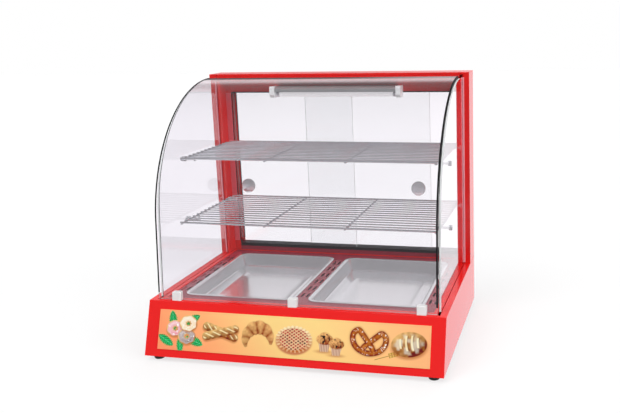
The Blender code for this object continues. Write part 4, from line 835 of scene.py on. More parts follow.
@dataclass
class GlassHouse:
    """The bent front glass, the flat side glasses, their worked edges and the seals round them; the pale pink
    side beads are a painted highlight.
    """

    bend: BendLine = BendLine()
    side_bend: BendLine = BendLine(-178.2 * MM, 126.5 * MM, 157 * MM, 581.4 * MM, 44 * MM)
    half_width: float = 311 * MM
    thickness: float = 5 * MM
    trim_leg: float = 3.0 * MM
    trim_wall: float = 0.3 * MM
    trim_low_z: float = 128 * MM
    trim_end_y: float = 154 * MM
    side_inner_x: float = 309.7 * MM
    side_outer_x: float = 314.7 * MM
    side_end_y: float = 120 * MM
    edge_skin: float = 0.12 * MM
    arris: float = 1.2 * MM
    post_y: float = 157 * MM
    bead: Span = (0.2 * MM, 3.2 * MM)
    bead_proud: float = 1.6 * MM
    bead_top_z: float = 580 * MM
    tail_top_z: float = 586.95 * MM
    filler_rise: Span = (-0.1 * MM, 1.1 * MM)
    filler_proud: float = 0.3 * MM
    plug: Span = (0.05 * MM, 5.4 * MM)
    plug_top_z: float = 591.4 * MM

    def build(self, nodes: dict[str, bpy.types.Object]) -> None:
        """Make and dress all of the glass house.

        Args:
            nodes: The frame's CAD nodes.
        """
        self.front_glass()
        for hand in Hand:
            self.end_trim(hand)
            dress_node(nodes[f"{hand.value}_side_glass"], CLEAR_GLASS)
            self.side_edge(hand)
            self.highlight_bead(hand)
        self.slot_filler()

    def front_glass(self) -> None:
        """The bent pane: its outer and inner lines as one loop, carried straight across."""
        ring = np.vstack([self.bend.line(), self.bend.shifted(self.thickness)[::-1]])
        shell = loft(at_each_x(ring, self.half_width, -self.half_width))
        add_piece("bent_front_glass", shell, CLEAR_GLASS, CASE, ["front_glass"], 20.0)

    def end_trim(self, hand: Hand) -> None:
        """Dark worked edge of the bent pane: an L section, wrapped over the arris, that follows the line.

        Args:
            hand: Which end.
        """
        line = self.bend.line()
        keep = (line[:, 1] > self.trim_low_z) & (line[:, 0] < self.trim_end_y)
        shifts = (-self.trim_wall, 0.0, self.thickness)
        proud, face, back = (self.bend.shifted(distance)[keep] for distance in shifts)
        outside, under = self.half_width + self.trim_wall, self.half_width + self.edge_skin / 4
        inside = self.half_width - self.trim_leg
        section = (
            (outside, proud), (outside, back), (under, back), (under, face), (inside, face), (inside, proud)
        )
        loops = beside(*((hand.side * x, line) for x, line in section))
        if hand is Hand.LEFT:
            loops = loops[:, ::-1]
        add_piece(f"front_glass_edge_{hand.value}", loft(loops), DARK_EDGE, CASE, smooth_degrees=25.0)

    def highlight_bead(self, hand: Hand) -> None:
        """Soft pale pink bead that closes the post's groove along the outside of a side glass; its pale
        colour is a painted highlight of the light on the flange's edge.

        Args:
            hand: Which side.
        """
        reach = (self.side_outer_x + self.bead[0], self.side_outer_x + self.bead[1])
        depth, rise = (self.post_y - self.bead_proud, self.post_y), (self.trim_low_z, self.bead_top_z)
        add_piece(f"highlight_bead_{hand.value}", side_block(hand, reach, depth, rise), HIGHLIGHT_SEAL, CASE)

    def slot_filler(self) -> None:
        """Thin red strip over the gap between the beam's lip and the pane's tail, and its two end plugs."""
        low, high = (self.tail_top_z + rise for rise in self.filler_rise)
        near, far = self.post_y - self.filler_proud, self.post_y + self.filler_proud
        shell = block((-self.half_width, near, low), (self.half_width, self.post_y, high))
        add_piece("beam_slot_filler", shell, RED_PAINT, CASE)
        for hand in Hand:
            reach = (self.half_width + self.plug[0], self.half_width + self.plug[1])
            shell = side_block(hand, reach, (near, far), (low, self.plug_top_z))
            add_piece(f"beam_slot_plug_{hand.value}", shell, RED_PAINT, CASE)

    def side_edge(self, hand: Hand) -> None:
        """Ground front edge of a flat side glass, a thin skin on its curve, and the dark arris inside it.

        Args:
            hand: Which side.
        """
        keep = self.side_bend.line()[:, 0] < self.side_end_y
        shifts = (-self.edge_skin / 4, -self.edge_skin, -2 * self.edge_skin)
        inner, outer, proud = (self.side_bend.shifted(distance)[keep] for distance in shifts)
        layers = (
            ("side_glass_edge", self.side_outer_x, inner, outer, GROUND_EDGE),
            ("side_glass_arris", self.side_inner_x + self.arris, outer, proud, DARK_EDGE),
        )
        for name, reach, under, over, finish in layers:
            low, high = sorted((hand.side * self.side_inner_x, hand.side * reach))
            loops = beside((low, over), (low, under), (high, under), (high, over))
            add_piece(f"{name}_{hand.value}", loft(loops[:, ::-1]), finish, CASE, smooth_degrees=25.0)


# Printed strip on the leaning front


def lattice_noise(x: np.ndarray, y: np.ndarray, size: float, seed: float = 0.0) -> np.ndarray:
    """Smooth value noise, 0 to 1: hashed corners of a square lattice, blended with 3t^2 - 2t^3.

    Args:
        x: Places along one axis.
        y: Places along the other.
        size: The lattice's step.
        seed: A number that changes the pattern.

    Returns:
        The noise at each place.
    """
    u, v = x / size, y / size
    iu, iv = np.floor(u), np.floor(v)
    su, sv = u - iu, v - iv
    su, sv = su * su * (3 - 2 * su), sv * sv * (3 - 2 * sv)

    def corner(a: np.ndarray, b: np.ndarray) -> np.ndarray:
        """A repeatable number, 0 to 1, for a lattice corner: the fraction of a large sine."""
        raw = np.sin(a * 127.1 + b * 311.7 + seed * 74.7) * 43758.5453
        return raw - np.floor(raw)

    low = corner(iu, iv) * (1 - su) + corner(iu + 1, iv) * su
    high = corner(iu, iv + 1) * (1 - su) + corner(iu + 1, iv + 1) * su
    return low * (1 - sv) + high * sv


def grain(x: np.ndarray, y: np.ndarray, size: float, seed: float) -> np.ndarray:
    """The smooth noise about zero, as light and dark spots of a crust."""
    return lattice_noise(x, y, size, seed) - 0.5


def soft_step(value: np.ndarray, edge: float = 0.7) -> np.ndarray:
    """1 where a signed distance is inside, 0 outside, and smooth over an edge's width.

    Args:
        value: The signed distance in mm, negative inside.
        edge: Half the width of the blend in mm.

    Returns:
        The mask.
    """
    share = np.clip((edge - value) / (2 * edge), 0, 1)
    return share * share * (3 - 2 * share)


def shade_between(dark: Colour, light: Colour, share: np.ndarray) -> np.ndarray:
    """Colours between two, one for each share.

    Args:
        dark: The colour at share 0.
        light: The colour at share 1.
        share: The shares.

    Returns:
        One colour in each row.
    """
    amount = np.clip(share, 0, 1)[:, None]
    return np.asarray(dark) * (1 - amount) + np.asarray(light) * amount


def ellipse(x: np.ndarray, y: np.ndarray, half_x: float, half_y: float) -> np.ndarray:
    """Signed distance to an ellipse, nearly: (|(x/a, y/b)| - 1) times the smaller half, negative inside."""
    return (np.hypot(x / half_x, y / half_y) - 1) * min(half_x, half_y)


def capsule(x: np.ndarray, y: np.ndarray, half_length: float, radius: float) -> np.ndarray:
    """Signed distance to a bar along x with round ends: |p - nearest point of its middle line| - radius."""
    return np.hypot(x - np.clip(x, -half_length, half_length), y) - radius


@dataclass
class Canvas:
    """The print in work: places p along and q up the strip in mm, and the linear colour at each."""

    p: np.ndarray
    q: np.ndarray
    colour: np.ndarray
    zoom: float = 1.2

    def lay(self, mask: np.ndarray, colour: Colour | np.ndarray, strength: float = 1.0) -> None:
        """Lay ink on the canvas.

        Args:
            mask: How much ink each place gets, 0 to 1.
            colour: One colour or a colour for each place.
            strength: A share for the whole mask.
        """
        cover = (mask * strength)[:, None]
        self.colour = self.colour * (1 - cover) + np.asarray(colour) * cover

    def local(self, centre: Sequence[float], turn_degrees: float = 0.0) -> tuple[np.ndarray, np.ndarray]:
        """Places in mm about a centre, turned.

        Args:
            centre: The motif's middle on the strip.
            turn_degrees: The motif's turn, counter-clockwise.

        Returns:
            The two local coordinates.
        """
        dp, dq = (self.p - centre[0]) / self.zoom, (self.q - centre[1]) / self.zoom
        turn = math.radians(turn_degrees)
        return dp * math.cos(turn) + dq * math.sin(turn), dq * math.cos(turn) - dp * math.sin(turn)


CRUST_DARK = linear(150, 78, 30)
CRUST = linear(203, 126, 60)
CRUST_LIGHT = linear(240, 188, 118)
CRUMB = linear(250, 224, 172)
SHADOW_INK = linear(190, 110, 55)


def draw_croissant(canvas: Canvas, centre: Sequence[float], turn: float) -> None:
    """A ribbed crescent that thins to its tips: | |p| - 24 | < 12.5 cos(angle / 1.28)^0.75.

    Args:
        canvas: The print.
        centre: The motif's middle.
        turn: Its turn in degrees.
    """
    x, y = canvas.local(centre, turn)
    y = y + 14
    angle, radius = np.arctan2(x, y), np.hypot(x, y)
    width = 12.5 * np.clip(np.cos(angle / 1.28), 0, 1) ** 0.75
    rib = np.abs(np.sin(angle * 5.6 + (radius - 24) * 0.035))
    distance = np.abs(radius - 24) - width * (0.86 + 0.14 * rib)
    distance = np.where(np.abs(angle) > 1.9, 9.0, distance)
    canvas.lay(soft_step(distance + 1.5, 3.5), SHADOW_INK, 0.35)
    light = 0.25 + 0.5 * rib + 0.02 * (radius - 24) + 0.3 * grain(x, y, 3.2, 1)
    canvas.lay(soft_step(distance), shade_between(CRUST_DARK, CRUST_LIGHT, light))


def draw_muffin(canvas: Canvas, centre: Sequence[float], size: float, seed: float) -> None:
    """A pleated cup, |x| < 11.5 + 0.22 y, with a domed crown and dark crumbs.

    Args:
        canvas: The print.
        centre: The motif's middle.
        size: Its scale.
        seed: Changes the crumbs.
    """
    x, y = canvas.local(centre)
    x, y = x / size, y / size
    cup = np.maximum(np.abs(x) - (11.5 + 0.22 * y), np.abs(y + 9) - 9)
    canvas.lay(soft_step(ellipse(x, y + 18, 15, 3), 2), SHADOW_INK, 0.5)
    pleat = 0.5 + 0.5 * np.cos(x * 2.1)
    canvas.lay(soft_step(cup), shade_between(linear(168, 104, 66), linear(238, 206, 168), 0.2 + 0.8 * pleat))
    crown = np.minimum(ellipse(x, y - 3.5, 15.5, 9.5), ellipse(x, y - 8, 10, 8))
    light = 0.45 + 0.035 * (y - x * 0.5) + 0.6 * grain(x, y, 2.4, seed)
    canvas.lay(soft_step(crown), shade_between(CRUST_DARK, CRUST_LIGHT, light))
    crumbs = soft_step(crown + 2) * soft_step((0.72 - lattice_noise(x, y, 2.9, seed + 5)) * 8, 0.5)
    canvas.lay(crumbs, linear(84, 44, 28), 0.9)


def draw_pretzel(canvas: Canvas, centre: Sequence[float], turn: float) -> None:
    """A knotted roll with salt on it: within 4.9 mm of a smooth line through set points.

    Args:
        canvas: The print.
        centre: The motif's middle.
        turn: Its turn in degrees.
    """
    x, y = canvas.local(centre, turn)
    marks = np.array(
        [(-11, -17), (-6, -9), (3, 0), (13, 10), (21, 16), (29, 9), (28, -4), (18, -15), (0, -20), (-18, -15),
         (-28, -4), (-29, 9), (-21, 16), (-13, 10), (-3, 0), (6, -9), (11, -17)],
        float,
    )
    t = np.linspace(0, len(marks) - 1.001, 150)
    i = t.astype(int)
    s = (t - i)[:, None]
    padded = np.vstack([2 * marks[0] - marks[1], marks, 2 * marks[-1] - marks[-2]])
    a, b, c, d = padded[i], padded[i + 1], padded[i + 2], padded[np.minimum(i + 3, len(padded) - 1)]
    line = 0.5 * (2 * b + (c - a) * s + (2 * a - 5 * b + 4 * c - d) * s**2 + (3 * b - a - 3 * c + d) * s**3)
    near = (np.abs(x) < 42) & (np.abs(y) < 32)
    reach = np.full(len(x), 99.0)
    gap = np.hypot(x[near][:, None] - line[None, :, 0], y[near][:, None] - line[None, :, 1])
    reach[near] = gap.min(axis=1)
    canvas.lay(soft_step(reach - 6.4, 2.5), SHADOW_INK, 0.4)
    light = 0.85 - 0.13 * reach + 0.35 * grain(x, y, 4.0, 9)
    canvas.lay(soft_step(reach - 4.9), shade_between(linear(120, 56, 22), linear(222, 146, 74), light))
    salt = soft_step(reach - 3.2) * soft_step((0.8 - lattice_noise(x, y, 1.7, 12)) * 9, 0.4)
    canvas.lay(salt, linear(252, 246, 232), 0.9)


def draw_pie(canvas: Canvas, centre: Sequence[float]) -> None:
    """A round pie: a crimped rim, dark fruit and a lattice of strips, |sin| of two slanted lines.

    Args:
        canvas: The print.
        centre: The motif's middle.
    """
    x, y = canvas.local(centre)
    y = y * 1.45
    crimp = np.cos(np.arctan2(y, x) * 26)
    rim = np.hypot(x, y) - 33 - 1.1 * crimp
    canvas.lay(soft_step(np.hypot(x, y + 6) - 33, 3), linear(196, 120, 78), 0.8)
    light = 0.55 + 0.25 * crimp + 0.012 * y + 0.4 * grain(x, y, 3, 3)
    canvas.lay(soft_step(rim), shade_between(CRUST, CRUMB, light))
    inside = soft_step(np.hypot(x, y) - 27)
    fruit = lattice_noise(x, y, 4.5, 7)
    canvas.lay(inside, shade_between(linear(122, 22, 26), linear(206, 64, 52), fruit * 1.3 - 0.15))
    pitch = 3.4
    for slant in (0.30, -0.30):
        wave = x * 0.42 + y * slant * 1.4
        strip = (np.abs(((wave / pitch + 0.5) % 1.0) - 0.5) - 0.2) * pitch / 0.5
        tone = 0.55 + 0.3 * grain(x, y, 2.6, 4) - 0.1 * strip
        canvas.lay(inside * soft_step(strip, 0.5), shade_between(CRUST, CRUMB, tone))


def draw_round_loaf(canvas: Canvas, centre: Sequence[float]) -> None:
    """A country loaf: a dusted dome with curved cuts.

    Args:
        canvas: The print.
        centre: The motif's middle.
    """
    x, y = canvas.local(centre, 6)
    dome = ellipse(x, y, 31, 21)
    canvas.lay(soft_step(ellipse(x, y + 5, 32, 20), 3), SHADOW_INK, 0.6)
    light = 0.42 + 0.018 * y - 0.008 * x + 0.5 * grain(x, y, 5.0, 14)
    canvas.lay(soft_step(dome), shade_between(CRUST_DARK, CRUST_LIGHT, light))
    for shift in (-15, -5, 5, 15):
        bow = x - shift - 0.012 * (y - 2) ** 2
        end = np.abs(y - 2) - (15 - abs(shift) * 0.45)
        cut_line = np.maximum(np.abs(bow) - 1.9, end)
        canvas.lay(soft_step(cut_line, 0.8) * soft_step(dome + 3), CRUMB, 0.92)
        edge = np.maximum(np.abs(bow - 2.4) - 0.7, end)
        canvas.lay(soft_step(edge, 0.6) * soft_step(dome + 3), CRUST_DARK, 0.7)
    dust = soft_step(dome + 4, 3) * soft_step((0.55 - lattice_noise(x, y, 6.5, 21)) * 10, 2)
    canvas.lay(dust, linear(250, 238, 214), 0.45)


def draw_baguettes(canvas: Canvas, centre: Sequence[float]) -> None:
    """Two crossed sticks of bread with slanting cuts.

    Args:
        canvas: The print.
        centre: The motif's middle.
    """
    half_length, radius, pitch = 28, 7.6, 12.5
    for turn, lift, seed in ((-17, 1.0, 31), (15, -1.0, 37)):
        x, y = canvas.local((centre[0], centre[1] + lift), turn)
        stick = capsule(x, y, half_length, radius)
        canvas.lay(soft_step(capsule(x, y + 3, half_length, radius), 2), SHADOW_INK, 0.5)
        light = 0.5 + 0.05 * y + 0.5 * grain(x, y, 4, seed)
        canvas.lay(soft_step(stick), shade_between(CRUST_DARK, CRUST_LIGHT, light))
        wave = (x * 0.9 + y * 1.3) / pitch
        cut_line = np.maximum(np.abs((wave % 1.0) - 0.5) * pitch - 1.7, np.abs(y - 0.6) - 4.6)
        canvas.lay(soft_step(cut_line, 0.7) * soft_step(stick + 1.5), CRUMB, 0.9)


def draw_leaf(canvas: Canvas, centre: Sequence[float], length: float, turn: float) -> None:
    """A crinkled green leaf: a lens whose edge waves, with a pale rib.

    Args:
        canvas: The print.
        centre: The leaf's middle.
        length: Its length in mm.
        turn: Its turn in degrees.
    """
    x, y = canvas.local(centre, turn)
    half = length / 2
    width = 0.42 * half * np.clip(1 - (x / half) ** 2, 0, 1) ** 0.7 * (1 + 0.16 * np.sin(x * 1.9))
    inside = np.maximum(np.abs(y) - width, np.abs(x) - half)
    light = 0.5 + 0.45 * np.sin(x * 1.1 + np.abs(y) * 1.6) + 0.4 * grain(x, y, 2.0, 41)
    canvas.lay(soft_step(inside), shade_between(linear(34, 110, 52), linear(132, 200, 118), light))
    canvas.lay(soft_step(np.maximum(np.abs(y) - 0.3, np.abs(x) - half + 2)), linear(190, 224, 168), 0.8)


def draw_doughnut(canvas: Canvas, centre: Sequence[float], glaze: Colour, seed: float) -> None:
    """A glazed ring: | |p| - 10.2 | < 6.8, with a wavy glaze and sprinkles.

    Args:
        canvas: The print.
        centre: The ring's middle.
        glaze: The glaze's colour.
        seed: Changes the wave and the sprinkles.
    """
    x, y = canvas.local(centre)
    y = y * 1.18
    angle, radius = np.arctan2(y, x), np.hypot(x, y)
    ring = np.abs(radius - 10.2) - 6.8
    canvas.lay(soft_step(np.abs(np.hypot(x, y + 2.5) - 10.2) - 7.4, 2), SHADOW_INK, 0.5)
    light = 0.6 + 0.03 * y - 0.03 * x + 0.3 * grain(x, y, 3, seed)
    canvas.lay(soft_step(ring), shade_between(CRUST, CRUST_LIGHT, light))
    sugar = np.abs(radius - 10.4) - 4.9 - 0.8 * np.sin(angle * 7 + seed)
    shine = 0.5 + 0.45 * np.cos(angle - 2.0) * soft_step(np.abs(radius - 11) - 1.6, 1.2)
    canvas.lay(soft_step(sugar), shade_between(glaze, linear(255, 236, 230), 0.15 + 0.5 * shine))
    dots = soft_step(sugar + 1.2) * soft_step((0.8 - lattice_noise(x, y, 1.8, seed + 2)) * 9, 0.4)
    canvas.lay(dots, linear(252, 250, 240), 0.9)


def draw_wheat(canvas: Canvas, centre: Sequence[float], turn: float) -> None:
    """An ear of grain: pairs of slanted kernels along a stem.

    Args:
        canvas: The print.
        centre: The ear's middle.
        turn: Its turn in degrees.
    """
    x, y = canvas.local(centre, turn)
    canvas.lay(soft_step(np.maximum(np.abs(y) - 0.5, np.abs(x + 8) - 24), 0.4), linear(176, 130, 52), 0.95)
    pitch = 4.6
    near, away = (x + 2) % pitch - pitch / 2, np.abs(y) - 2.6
    kernel = ellipse(near * 0.85 - away * 0.5, away, 3.0, 1.7)
    kernel = np.where((x > -6) & (x < 20), kernel, 9.0)
    light = 0.5 + 0.5 * np.sin(near * 2.0)
    canvas.lay(soft_step(kernel, 0.5), shade_between(linear(178, 118, 40), linear(244, 204, 116), light))


@dataclass
class PictureStrip:
    """The printed film on the leaning front: baked goods of no particular maker on a warm graded ground."""

    node: str = "front_picture_panel"
    step: float = 0.8 * MM
    height: float = 85 * MM
    thickness: float = 1 * MM
    lean: tuple[float, float, float] = (0.0, 39.0, 113.0)
    contrast: float = 1.25
    leaves: tuple[tuple[float, ...], ...] = (
        (-282, 20, 34, 150), (-268, 62, 36, 100), (-224, 66, 34, 30), (-216, 22, 36, -20), (-248, 12, 30, -85)
    )
    doughnuts: tuple[tuple[Span, Colour, float], ...] = (
        ((-262, 46), linear(236, 120, 128), 2.0), ((-234, 31), linear(150, 84, 60), 6.0),
        ((-232, 58), linear(246, 206, 150), 11.0),
    )

    def build(self) -> None:
        """Print the strip on a fine grid that stands for the CAD panel, closed round its rim and back."""
        low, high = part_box(self.node)
        along = Vector(self.lean).normalized()
        out = np.array(Vector((0.0, -along.z, along.y)))
        columns = int(round((high.x - low.x) / self.step)) + 1
        rows = int(round(self.height / self.step)) + 1
        grid_x, grid_up = np.meshgrid(np.linspace(low.x, high.x, columns), np.linspace(0, self.height, rows))
        foot = np.array([0.0, low.y, low.z + self.thickness * out[2]])
        points = foot + grid_up[..., None] * np.array(along)
        points[..., 0] = grid_x
        self.add(points, self.printed(grid_x.ravel() / MM, grid_up.ravel() / MM), out * self.thickness)

    def add(self, points: np.ndarray, colour: np.ndarray, depth: np.ndarray) -> None:
        """Close the grid into a thin sheet and put it on the case.

        Args:
            points: The front face, rows by columns.
            colour: The print's colour at each point.
            depth: From the back of the sheet to its front.
        """
        rows, columns = points.shape[:2]
        top = points.reshape(-1, 3)
        ids = np.arange(rows * columns).reshape(rows, columns)
        rim = np.concatenate([ids[0, :-1], ids[:-1, -1], ids[-1, :0:-1], ids[:0:-1, 0]])
        count, base = len(rim), rows * columns
        i = np.arange(count)
        after = (i + 1) % count
        walls = np.stack([rim[after], rim, base + i, base + after], axis=-1)
        faces = grid_quads(rows, columns).tolist() + walls.tolist() + [list(range(base, base + count))[::-1]]
        shell = Shell(np.vstack([top, top[rim] - depth]), faces)
        thing = add_piece("picture_strip", shell, PRINT_FILM, CASE, [self.node])
        ink = thing.data.color_attributes.new("print_colour", "FLOAT_COLOR", "POINT")
        values = np.ones((base + count, 4), np.float32)
        values[:base, :3] = colour
        values[base:, :3] = colour[rim]
        ink.data.foreach_set("color", values.ravel())

    def printed(self, p: np.ndarray, q: np.ndarray) -> np.ndarray:
        """The strip's colours: every motif on the ground, and its contrast with the ground raised.

        Args:
            p: Places along the strip in mm from its middle.
            q: Places up the strip in mm.

        Returns:
            A linear colour for each place.
        """
        ground = self.ground(p, q)
        canvas = Canvas(p, q, ground)
        for x, y, length, turn in self.leaves:
            draw_leaf(canvas, (x, y), length, turn)
        for centre, glaze, seed in self.doughnuts:
            draw_doughnut(canvas, centre, glaze, seed)
        draw_baguettes(canvas, (-156, 44))
        draw_croissant(canvas, (-72, 47), 8)
        draw_pie(canvas, (10, 40))
        draw_muffin(canvas, (77, 40), 0.98, 3.0)
        draw_muffin(canvas, (103, 32), 0.9, 8.0)
        draw_pretzel(canvas, (172, 46), -6)
        draw_wheat(canvas, (222, 22), 18)
        draw_round_loaf(canvas, (256, 45))
        return np.clip(ground + (canvas.colour - ground) * self.contrast, 0.0, 1.0)

    def ground(self, p: np.ndarray, q: np.ndarray) -> np.ndarray:
        """The warm ground: salmon at the left, yellow in the middle, orange at the right, deeper low down.

        Args:
            p: Places along the strip in mm.
            q: Places up the strip in mm.

        Returns:
            A linear colour for each place.
        """
        stops = np.array([-301.0, -180.0, -40.0, 80.0, 301.0])
        inks = np.array(
            [linear(255, 158, 108), linear(255, 178, 118), linear(250, 214, 136), linear(252, 216, 138),
             linear(255, 186, 128)]
        )
        place = p + (q - 42) * 0.6
        ground = np.stack([np.interp(place, stops, ink) for ink in inks.T], axis=-1)
        tone = 1 - 0.10 * (1 - q / (self.height / MM))[:, None] * np.array([0.2, 1.0, 1.0])
        return ground * tone


# Base, deck and trays


@dataclass
class DrawnTray:
    """A lift-out stainless tray: rolled lip, flat flange, sloped walls, round corners and a pressed floor."""

    hand: Hand
    width: float = 260 * MM
    length: float = 320 * MM
    centre_x: float = 144 * MM
    centre_y: float = 2 * MM
    rim_top: float = 125.7 * MM
    depth: float = 30 * MM
    sheet: float = 1 * MM
    lip: float = 2.4 * MM
    corner: float = 24 * MM
    corner_steps: int = 14
    least_corner: float = 6 * MM
    flange: float = 8 * MM
    wall_foot: float = 16 * MM
    floor_start: float = 26 * MM
    floor_end: float = 60 * MM
    bead: tuple[float, float, float] = (40 * MM, 43 * MM, 46 * MM)
    floor_bend: float = 7 * MM
    flange_bend: float = 2.5 * MM
    lip_bends: Span = (0.9 * MM, 1.6 * MM)
    bend_steps: int = 6

    def build(self) -> None:
        """Carry the tray's section round its rounded outline and put the tray on its body."""
        low, top, sheet = self.rim_top - self.depth, self.rim_top, self.sheet
        floor, hem, start = low + sheet, top - self.lip, self.floor_start
        foot, flange = self.wall_foot, self.flange
        under = rounded_profile(
            [(start, low), (foot, low), (flange, top - sheet), (sheet, top - sheet), (sheet, hem)],
            [self.floor_bend, self.flange_bend, self.lip_bends[0]],
            self.bend_steps,
        )
        over = rounded_profile(
            [(0, hem), (0, top), (flange + sheet, top), (foot + sheet, floor), (start, floor)],
            [self.lip_bends[1], self.flange_bend, self.floor_bend],
            self.bend_steps,
        )
        bead = [(self.bead[0], floor), (self.bead[1], low + 1.6 * sheet), (self.bead[2], floor)]
        section = np.vstack([under, over, bead, [(self.floor_end, floor)]])
        shell = loft(np.stack([self.ring(inset, z) for inset, z in section]))
        name = f"{self.hand.value}_tray"
        add_piece(f"drawn_{name}", shell, STAINLESS, f"{self.hand.value}_pan", [name], 30.0)

    def ring(self, inset: float, z: float) -> np.ndarray:
        """The outline at a distance in from the rim, at a height.

        Args:
            inset: How far in.
            z: The height.

        Returns:
            The ring's points.
        """
        radius = max(self.corner - inset, self.least_corner)
        centre = (self.hand.side * self.centre_x, self.centre_y)
        width, length = self.width - 2 * inset, self.length - 2 * inset
        flat = round_rectangle(width, length, radius, self.corner_steps, centre)
        return np.column_stack([flat, np.full(len(flat), z)])


@dataclass
class RubberFoot:
    """A moulded foot: a turned pad with a soft arris, a waist and a screw well under it."""

    name: str
    radius: float = 12 * MM
    height: float = 11.7 * MM
    well: Span = (4.5 * MM, 3 * MM)
    toe: Span = (1.5 * MM, 3 * MM)
    waist: tuple[float, float, float] = (7.6 * MM, 8.4 * MM, 9.2 * MM)
    waist_depth: float = 0.9 * MM
    soft: tuple[float, ...] = (
        0.4 * MM, 0.6 * MM, 1.4 * MM, 1.0 * MM, 0.4 * MM, 0.5 * MM, 0.4 * MM, 0.5 * MM
    )

    def build(self) -> None:
        """Turn the foot under the place of its CAD node."""
        low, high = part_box(self.name)
        middle = ((low.x + high.x) / 2, (low.y + high.y) / 2, 0.0)
        radius, (well, deep), (toe, toe_z) = self.radius, self.well, self.toe
        low_z, waist_z, high_z = self.waist
        steps = [(0, deep), (well, deep), (well, 0), (radius - toe, 0), (radius, toe_z), (radius, low_z),
                 (radius - self.waist_depth, waist_z), (radius, high_z), (radius, self.height),
                 (0, self.height)]
        shell = lathe(rounded_profile(steps, self.soft, 3), middle, (0, 0, 1), 48)
        add_piece(f"moulded_{self.name}", shell, RUBBER, CASE, [self.name])


# Shelves and pegs


@dataclass
class WireShelf:
    """A welded wire shelf: long wires and two thicker edge rods over four cross rods, with weld nuggets."""

    level: Level
    front_y: float
    z: float
    rear_y: float = 174 * MM
    half_length: float = 295 * MM
    edge_radius: float = 2.3 * MM
    wire_radius: float = 1.6 * MM
    pitch: float = 20 * MM
    sink: float = 0.9 * MM
    cross_shares: tuple[float, ...] = (-0.5, -0.159, 0.159, 0.5)
    end_soft: float = 0.35
    nugget_size: float = 1.3
    nugget_flat: float = 0.5

    def build(self) -> None:
        """Weld the rods into one piece and put the shelf on its body."""
        count = round((self.rear_y - self.front_y) / self.pitch)
        ys = np.linspace(self.front_y, self.rear_y, count + 1)
        drop = self.edge_radius + self.wire_radius - self.sink
        cross_x = np.array(self.cross_shares) * 2 * (self.half_length - self.edge_radius)
        radii = [self.edge_radius] + [self.wire_radius] * (count - 1) + [self.edge_radius]
        parts = [self.rod((-self.half_length, y, self.z), (1, 0, 0), radius, 2 * self.half_length)
                 for y, radius in zip(ys, radii)]
        reach, low = self.rear_y - self.front_y + self.edge_radius, self.z - drop
        start_y = self.front_y - self.edge_radius / 2
        parts += [self.rod((x, start_y, low), (0, 1, 0), self.edge_radius, reach) for x in cross_x]
        parts += [self.nugget(x, y, low + self.edge_radius) for x in cross_x for y in ys]
        name, body = f"{self.level.value}_shelf", f"{self.level.value}_wire_shelf"
        add_piece(f"welded_{name}", parts[0].joined(*parts[1:]), CHROME, body, [name], 40.0)

    def rod(self, start: Sequence[float], axis: Sequence[float], radius: float, length: float) -> Shell:
        """A straight rod with softened ends.

        Args:
            start: The middle of its first end.
            axis: Its direction.
            radius: Its radius.
            length: Its length.

        Returns:
            The closed shell.
        """
        soft = radius * self.end_soft
        near = soft * 0.3
        profile = [(0, 0), (radius - soft, 0), (radius - near, near), (radius, soft), (radius, length - soft),
                   (radius - near, length - near), (radius - soft, length), (0, length)]
        return lathe(profile, start, axis, 16)

    def nugget(self, x: float, y: float, z: float) -> Shell:
        """A small flattened bead where two rods are welded.

        Args:
            x: Its place.
            y: Its place.
            z: Its height.

        Returns:
            The closed shell.
        """
        radius = self.wire_radius * self.nugget_size
        turn = np.linspace(0, math.pi, 6)
        profile = np.column_stack([radius * np.sin(turn), -radius * self.nugget_flat * np.cos(turn)])
        profile[[0, -1], 0] = 0
        return lathe(profile, (x, y, z), (0, 0, 1), 8)


@dataclass
class ShelfPeg:
    """A turned steel peg with a softened head, collar and flanged tip, in place of its CAD node."""

    name: str
    hand: Hand
    front: bool
    pin: float = 3 * MM
    head: float = 6 * MM
    soft: float = 0.5 * MM
    front_head: float = 3 * MM
    rear_head: float = 4 * MM
    collar: Span = (8.6 * MM, 12.6 * MM)
    flange: float = 5 * MM
    flange_reach: float = 3 * MM

    def build(self) -> None:
        """Turn the peg along x, inwards from its outer end."""
        low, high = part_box(self.name)
        length = high.x - low.x
        start_x = low.x if self.hand is Hand.LEFT else high.x
        place = (start_x, (low.y + high.y) / 2, (low.z + high.z) / 2)
        reach = self.front_head if self.front else self.rear_head
        steps = [(0, 0), (self.head, 0), (self.head, reach), (self.pin, reach)]
        if self.front:
            near, far = self.collar
            steps += [(self.pin, near), (self.head, near), (self.head, far), (self.pin, far)]
        rim = length - self.flange_reach
        steps += [(self.pin, rim), (self.flange, rim), (self.flange, length), (0, length)]
        profile = rounded_profile(steps, [self.soft] * (len(steps) - 2), 3)
        shell = lathe(profile, place, (-self.hand.side, 0, 0), 40)
        add_piece(f"turned_{self.name}", shell, PEG_STEEL, CASE, [self.name])


# Lamp


